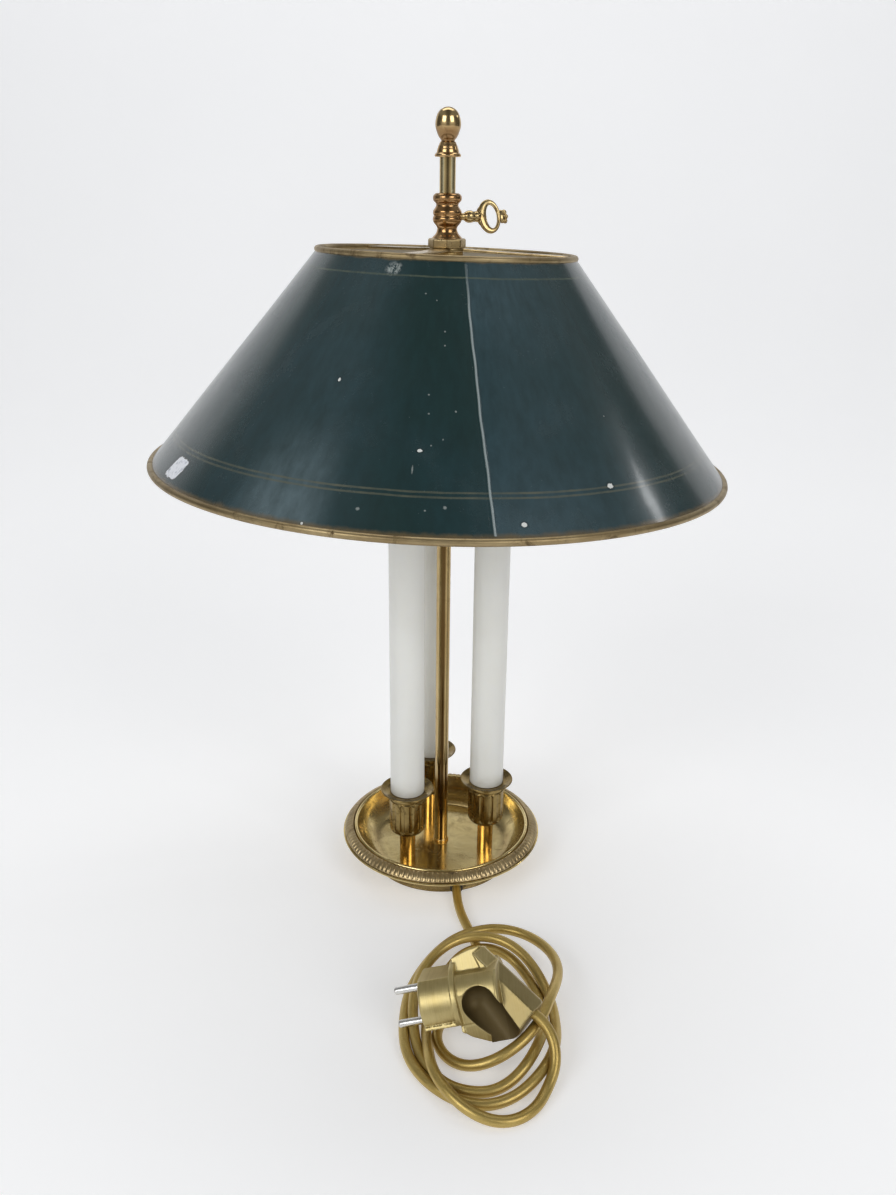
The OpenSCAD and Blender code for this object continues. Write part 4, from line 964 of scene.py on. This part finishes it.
v, f = ring_tube("key_bow", bow_c, bow_r)
kv = [K @ p for p in v]
bow = mesh_object("key_bow", [tuple(p) for p in kv], f)
fix_normals(bow)
dress(bow, mat_key)


def pearl(name, centre, radii, seg=20):
    """A small cast knob: an egg, slightly four-sided round its axis."""
    vs, fs = [], []
    rows = 12
    for i in range(rows + 1):
        th = math.pi * i / rows
        for j in range(seg):
            ph = 2 * math.pi * j / seg
            sq = 1 + 0.06 * math.cos(4 * ph)
            vs.append((centre[0] + radii[0] * math.cos(th), centre[1] + radii[1] * math.sin(th) * math.cos(ph) * sq, centre[2] + radii[2] * math.sin(th) * math.sin(ph) * sq))
    for i in range(rows):
        for j in range(seg):
            fs.append((i * seg + j, i * seg + (j + 1) % seg, (i + 1) * seg + (j + 1) % seg, (i + 1) * seg + j))
    return vs, fs


av, af = [], []
for centre, radii in (((39.35, 0, -2.65), (1.72, 1.4, 1.7)), ((40.1, 0, 0.0), (1.75, 1.45, 1.65)), ((39.35, 0, 2.65), (1.72, 1.4, 1.7)), ((37.2, 0, 0), (2.5, 1.38, 4.1)), ((23.3, 0, 0), (3.5, 1.5, 5.9)), ((20.7, 0, 0), (1.7, 1.7, 3.5))):
    vs, fs = pearl("p", centre, radii)
    base = len(av)
    av += [K @ Vector(p) for p in vs]
    af += [tuple(base + i for i in q) for q in fs]
crest = mesh_object("key_crest", [tuple(p) for p in av], af)
bm = bmesh.new()
bm.from_mesh(crest.data)
bmesh.ops.remove_doubles(bm, verts=bm.verts, dist=1e-6)
bmesh.ops.recalc_face_normals(bm, faces=bm.faces)
bm.to_mesh(crest.data)
bm.free()
dress(crest, mat_key)
bow.parent = shank
crest.parent = shank
stands_for(shank, "key", "polished_brass", "key_screw")

# ------------------------------------------------------------------ shade
LEAN = Matrix.Translation((-0.2, 0, 447.25)) @ Matrix.Rotation(math.radians(-1.8), 4, "X") @ Matrix.Rotation(math.radians(1.6), 4, "Y")
DR, DH = 106.9, 134.1
SL = math.hypot(DR, DH)
NR, NZ = DH / SL, DR / SL      # outward normal of the cone


def cone_point(a, t, off):
    """A point on the shade: direction a, distance t down the slope, off outward, with the sheet's gentle waviness."""
    wave = 0.16 * math.sin(3 * a + 0.6) * math.sin(math.pi * t / SL) + 0.10 * math.sin(7 * a + 0.035 * t) * math.sin(math.pi * t / SL)
    # the sheet pulls in a little beside its joint
    d = (a - SEAM + math.pi) % (2 * math.pi) - math.pi
    wave -= 0.22 * math.exp(-(d / 0.06) ** 2) * math.sin(math.pi * t / SL)
    off = off + wave
    r = 81.4 + DR * t / SL + NR * off
    return (r * math.cos(a), r * math.sin(a), -DH * t / SL + NZ * off)


def cone_skin(name, off, t0, t1, seg=512, rows=60, flip=False):
    verts, faces, uvs = [], [], []
    for i in range(rows + 1):
        t = t0 + (t1 - t0) * i / rows
        for j in range(seg):
            p = LEAN @ Vector(cone_point(2 * math.pi * j / seg, t, off))
            verts.append(tuple(p))
    for i in range(rows):
        ta, tb = t0 + (t1 - t0) * i / rows, t0 + (t1 - t0) * (i + 1) / rows
        for j in range(seg):
            q = (i * seg + j, i * seg + (j + 1) % seg, (i + 1) * seg + (j + 1) % seg, (i + 1) * seg + j)
            w = [(j / seg, ta * MM), ((j + 1) / seg, ta * MM), ((j + 1) / seg, tb * MM), (j / seg, tb * MM)]
            if flip:
                q, w = q[::-1], w[::-1]
            faces.append(q)
            uvs += w
    return verts, faces, uvs


vo, fo, uo = cone_skin("o", 0.3, 1.9, SL - 2.2, flip=True)
vi, fi, ui = cone_skin("i", -0.3, 1.9, SL - 2.2)
base = len(vo)
seg, rows = 512, 60
verts = vo + vi
faces = fo + [tuple(base + i for i in q) for q in fi]
uvs = uo + ui
rim_faces = []
for i in (0, rows):
    for j in range(seg):
        a, b = i * seg + j, i * seg + (j + 1) % seg
        q = (a, b, base + b, base + a) if i == 0 else (b, a, base + a, base + b)
        rim_faces.append(q)
        tv = (1.9 if i == 0 else SL - 2.2) * MM
        uvs += [(j / seg, tv)] * 4
faces += rim_faces
shade = mesh_object("shade_sheet", verts, faces, uvs)
shade.data.materials.append(mat_shade.m)
shade.data.materials.append(mat_shade_in.m)
for k, p in enumerate(shade.data.polygons):
    p.material_index = 1 if len(fo) <= k < len(fo) + len(fi) else 0
shade.data.set_sharp_from_angle(angle=math.radians(50))
stands_for(shade, "shade", "shade_lacquer", "shade_cone")

# the folded joint: a low rounded strip with a soft shoulder on its left
verts, faces, uvs = [], [], []
section = [(-2.3, 0.02), (-1.9, 0.20), (-1.2, 0.36), (-0.5, 0.46), (0.1, 0.50), (0.6, 0.48), (1.0, 0.40), (1.25, 0.24), (1.35, 0.03)]
rows = 120
for i in range(rows + 1):
    t = 3.2 + (SL - 3.2 - 3.4) * i / rows
    r = 81.4 + DR * t / SL
    jog = 0.16 * math.sin(0.11 * t) + 0.10 * math.sin(0.29 * t + 1.0)
    for w, h in section:
        a = SEAM + math.radians(-1.1 + 2.2 * t / 168) + (w + jog) / r
        fade = min(1.0, i / 3.0, (rows - i) / 3.0)
        verts.append(tuple(LEAN @ Vector(cone_point(a, t, 0.30 + max(0.02, h * max(0.1, fade))))))
m = len(section)
for i in range(rows):
    for j in range(m - 1):
        faces.append((i * m + j, (i + 1) * m + j, (i + 1) * m + j + 1, i * m + j + 1))
        ta, tb = 3.2 + (SL - 6.6) * i / rows, 3.2 + (SL - 6.6) * (i + 1) / rows
        ua, ub = j / (m - 1), (j + 1) / (m - 1)
        uvs += [(ua, ta * MM), (ua, tb * MM), (ub, tb * MM), (ub, ta * MM)]
seam = mesh_object("shade_lap_seam", verts, faces, uvs)
fix_normals(seam)
dress(seam, mat_seam)
stands_for(seam, "shade", "shade_lacquer", "shade_seam")


def wire_ring(name, R, z, r, ripple, lift=0.0):
    prof = [(R + r * math.cos(2 * math.pi * k / 20), z + r * math.sin(2 * math.pi * k / 20)) for k in range(20)]
    return lathe(name, prof, 512, matrix=LEAN, shape=lambda a, rr, zz, s: (ripple * math.sin(9 * a + 1) * 0.5, ripple * math.sin(5 * a) * 0.5))


top_ring = wire_ring("shade_wire_top", 81.4, 0, 1.95, 0.08)
dress(top_ring, mat_rim)
stands_for(top_ring, "shade", "aged_brass", "shade_top_ring")
bottom = wire_ring("shade_wire_bottom", 188.25, -DH, 2.2, 0.08)
dress(bottom, mat_rim)
stands_for(bottom, "shade", "aged_brass", "shade_bottom_bead")

# ------------------------------------------------------------------ spider: a pressed hub with three bent straps
def ring_height(a):
    p = LEAN @ Vector((81.4 * math.cos(a), 81.4 * math.sin(a), 0))
    return p.z


hub = lathe("spider_hub", rounded([(7.58, 448.5), (10.9, 448.5), (11.25, 448.9), (11.25, 450.3), (10.9, 450.68), (7.58, 450.68)], 0.2), 96)
dress(hub, mat_spider)
for n, deg in enumerate((10, 130, 250)):
    a = math.radians(deg)
    end_z = ring_height(a)
    verts, faces = [], []
    stations = 36
    sec = [(-6, -0.35), (-5.8, -0.72), (5.8, -0.72), (6, -0.35), (6, 0.35), (5.8, 0.72), (-5.8, 0.72), (-6, 0.35)]
    for i in range(stations + 1):
        s = i / stations
        r = 9.6 + (79.15 - 9.6) * s
        z = 449.6 + (end_z - 449.6) * s - 0.55 * math.sin(math.pi * s) * (1 - s)
        narrow = 1.0 - 0.10 * math.sin(math.pi * s) - (0.25 * max(0, (s - 0.93) / 0.07))
        for w, h in sec:
            x, y = r, w * narrow
            verts.append((x * math.cos(a) - y * math.sin(a), x * math.sin(a) + y * math.cos(a), z + h))
    m = len(sec)
    for i in range(stations):
        for j in range(m):
            faces.append((i * m + j, i * m + (j + 1) % m, (i + 1) * m + (j + 1) % m, (i + 1) * m + j))
    faces += [tuple(range(m)), tuple(stations * m + j for j in range(m))]
    arm = mesh_object("spider_arm_%d" % (n + 1), verts, faces)
    fix_normals(arm)
    flatten_shading(arm, 40)
    weighted(arm)
    dress(arm, mat_spider)
    arm.parent = hub
stands_for(hub, "shade", "polished_brass", "spider")

# ------------------------------------------------------------------ plug
PLUG = (Matrix.Translation((-6.9, -196.9, 25.7)) @ Matrix.Rotation(math.radians(48.3), 4, "X") @ Matrix.Rotation(math.radians(9.9), 4, "Z")
        @ Matrix.Rotation(math.radians(-14), 4, "Y"))
src = NODE["plug_body"]
plug = link(bpy.data.objects.new("plug_moulding", src.data.copy()))
m = plug.modifiers.new("remesh", "REMESH")
m.mode = "VOXEL"
m.voxel_size = 0.00045
apply_modifiers(plug)
# the hollow on each side gets one even, rounded surface
frame_of_plug = Matrix.Scale(MM, 4) @ PLUG
back = frame_of_plug.inverted()
pts = np.empty(len(plug.data.vertices) * 3, np.float32)
plug.data.vertices.foreach_get("co", pts)
pts = pts.reshape(-1, 3).astype(float) @ np.array(back.to_3x3()).T + np.array(back.translation)
axis = np.array((0.4741, -0.8805, 0.0))
for side in (1, -1):
    centre = np.array((36.1, -5.9, 15.5 * side))
    rel = pts - centre
    run = np.maximum(rel @ axis, 0.0)
    off = rel - run[:, None] * axis
    off[:, 2] = side * np.minimum(rel[:, 2] * side, 0.0)
    dist = np.linalg.norm(off, axis=1)
    inside = (dist < 10.45) & (dist > 1.0) & (pts[:, 2] * side > 3.0)
    pts[inside] += (off * (10.45 / np.maximum(dist, 1e-6) - 1)[:, None])[inside]
pts = pts @ np.array(frame_of_plug.to_3x3()).T + np.array(frame_of_plug.translation)
plug.data.vertices.foreach_set("co", pts.astype(np.float32).ravel())
plug.data.update()
m = plug.modifiers.new("soften", "SMOOTH")
m.factor = 0.5
m.iterations = 3
apply_modifiers(plug)
plug.data.polygons.foreach_set("use_smooth", [True] * len(plug.data.polygons))
dress(plug, mat_plug)
stands_for(plug, "lamp", "plug_gold", "plug_body")
pins = []
for s in (-1, 1):
    pm = PLUG @ Matrix.Translation((0, s * 9.5, 0)) @ Matrix.Rotation(math.radians(90), 4, "Y")
    pin = lathe("plug_pin_%s" % ("upper" if s > 0 else "lower"), [(0, -18.98)] + flow([(1.0, -18.98), (1.6, -18.85), (2.15, -18.3), (2.38, -17.6)], 3, 80) + [(2.38, -4), (2.38, -0.4), (2.3, 0), (2.0, 0.02), (2.0, 11.8), (0, 11.8)], 48, matrix=pm, closed=False)
    dress(pin, mat_pin)
    pins.append(pin)
pins[1].parent = pins[0]
stands_for(pins[0], "lamp", "nickel_plate", "plug_pins")

# ------------------------------------------------------------------ materials of the CAD nodes that stay
KEEP = {"felt_pad": mat_felt, "cover_plate": mat_iron, "cover_screws": mat_nickel, "base_weight": mat_iron, "cord_bush": mat_rubber, "cord_clamp": mat_nickel,
        "terminal_block": mat_plastic, "supply_leads": mat_core, "candle_leads": mat_lead, "stem_stud": mat_hidden, "stem_washer": mat_nickel,
        "stem_locknut": mat_nickel, "carrier_tube_left": mat_hidden, "carrier_tube_right": mat_hidden, "carrier_tube_rear": mat_hidden,
        "carrier_locknuts": mat_nickel, "cup_nuts": mat_nickel, "lamp_socket_left": mat_plastic, "lamp_socket_right": mat_plastic,
        "lamp_socket_rear": mat_plastic, "socket_shells": mat_hidden, "socket_contacts": mat_hidden}
for name, mat in KEEP.items():
    ob = NODE[name]
    ob.data.materials.clear()
    ob.data.materials.append(mat.m)

# ------------------------------------------------------------------ floor and light
def sweep():
    verts, faces = [], []
    prof = [(-3.0, 0), (1.6, 0)]
    for k in range(1, 25):
        a = math.pi / 2 * k / 24
        prof.append((1.6 + 1.4 * math.sin(a), 1.4 * (1 - math.cos(a))))
    prof += [(3.0, 2.1)]
    for y, z in prof:
        for x in (-4.0, 4.0):
            verts.append((x, y, z))
    for i in range(len(prof) - 1):
        faces.append((2 * i, 2 * i + 1, 2 * i + 3, 2 * i + 2))
    me = bpy.data.meshes.new("backdrop")
    me.from_pydata(verts, [], faces)
    me.polygons.foreach_set("use_smooth", [True] * len(me.polygons))
    return link(bpy.data.objects.new("backdrop", me))


backdrop = sweep()
fb = Mat("backdrop_paper")
nz = fb.noise(fb.obj, 1.2, 3)
fb.set(base=fb.mix(fb.rng(nz, 0.35, 0.65), (0.805, 0.81, 0.82), (0.825, 0.83, 0.84)), rough=0.8, spec=0.2)
fb.b.inputs["Emission Color"].default_value = (0.985, 0.985, 1.0, 1)
fb.b.inputs["Emission Strength"].default_value = 0.335
backdrop.data.materials.append(fb.m)

# the room: dark above and to the sides, a pale wall low behind, a dim window side in front
world = bpy.data.worlds.new("studio")
world.use_nodes = True
scene.world = world
wt = world.node_tree
wt.nodes.clear()


def wnode(kind, **kw):
    n = wt.nodes.new(kind)
    for k, v in kw.items():
        setattr(n, k, v)
    return n


def wmath(op, a, b=0.0):
    n = wnode("ShaderNodeMath", operation=op)
    for sock, v in zip(n.inputs, (a, b)):
        if isinstance(v, bpy.types.NodeSocket):
            wt.links.new(v, sock)
        else:
            sock.default_value = v
    return n.outputs[0]


def wrange(v, a, b, c=0.0, d=1.0):
    n = wnode("ShaderNodeMapRange", interpolation_type="SMOOTHSTEP")
    wt.links.new(v, n.inputs[0])
    for i, k in enumerate((a, b, c, d)):
        n.inputs[i + 1].default_value = k
    return n.outputs[0]


wo = wnode("ShaderNodeOutputWorld")
bg = wnode("ShaderNodeBackground")
wt.links.new(bg.outputs[0], wo.inputs[0])
tc = wnode("ShaderNodeTexCoord")
sx = wnode("ShaderNodeSeparateXYZ")
wt.links.new(tc.outputs["Generated"], sx.inputs[0])
wx, wy, wz = sx.outputs[0], sx.outputs[1], sx.outputs[2]
turned = wmath("SUBTRACT", wy, wrange(wx, 0.0, 0.33, 0.0, 0.27))
wall = wmath("MULTIPLY", wrange(turned, 0.36, 0.66), wrange(wz, 0.56, 0.44))
aside = wrange(wmath("ABSOLUTE", wx), 0.10, 0.42, 0.15, 1.0)
front = wmath("MULTIPLY", wmath("MULTIPLY", wrange(wy, -0.15, -0.75), wrange(wz, 0.50, 0.15)), aside)
sides = wmath("MULTIPLY", wrange(wmath("ABSOLUTE", wx), 0.12, 0.55), wrange(wz, 0.38, 0.60))
total = wmath("ADD", wmath("ADD", wmath("MULTIPLY", wall, 0.72), wmath("MULTIPLY", front, 0.46)), 0.11)
total = wmath("ADD", total, wmath("MULTIPLY", sides, 0.16))
wt.links.new(total, bg.inputs[1])
bg.inputs[0].default_value = (0.965, 0.985, 1.0, 1)


def area(name, loc, target, size, power, colour=(1, 1, 1)):
    data = bpy.data.lights.new(name, "AREA")
    data.shape = "RECTANGLE"
    data.size, data.size_y = size
    data.energy = power
    data.color = colour
    ob = link(bpy.data.objects.new(name, data))
    ob.location = loc
    ob.rotation_euler = (Vector(target) - Vector(loc)).to_track_quat("-Z", "Y").to_euler()
    return ob


area("top_back", (0.0, 1.0, 2.7), (0, 0.0, 0.0), (2.6, 1.3), 22, (1.0, 0.995, 0.985))
area("front_left", (-1.9, -2.4, 1.9), (0, 0, 0.2), (1.8, 1.5), 33, (0.98, 0.99, 1.0))
area("front_right", (1.9, -2.4, 1.9), (0, 0, 0.2), (1.8, 1.5), 28, (1.0, 0.99, 0.98))
area("window_right", (2.45, 0.59, 1.69), (0.115, -0.137, 0.327), (0.17, 0.22), 1.5, (0.98, 0.99, 1.0))
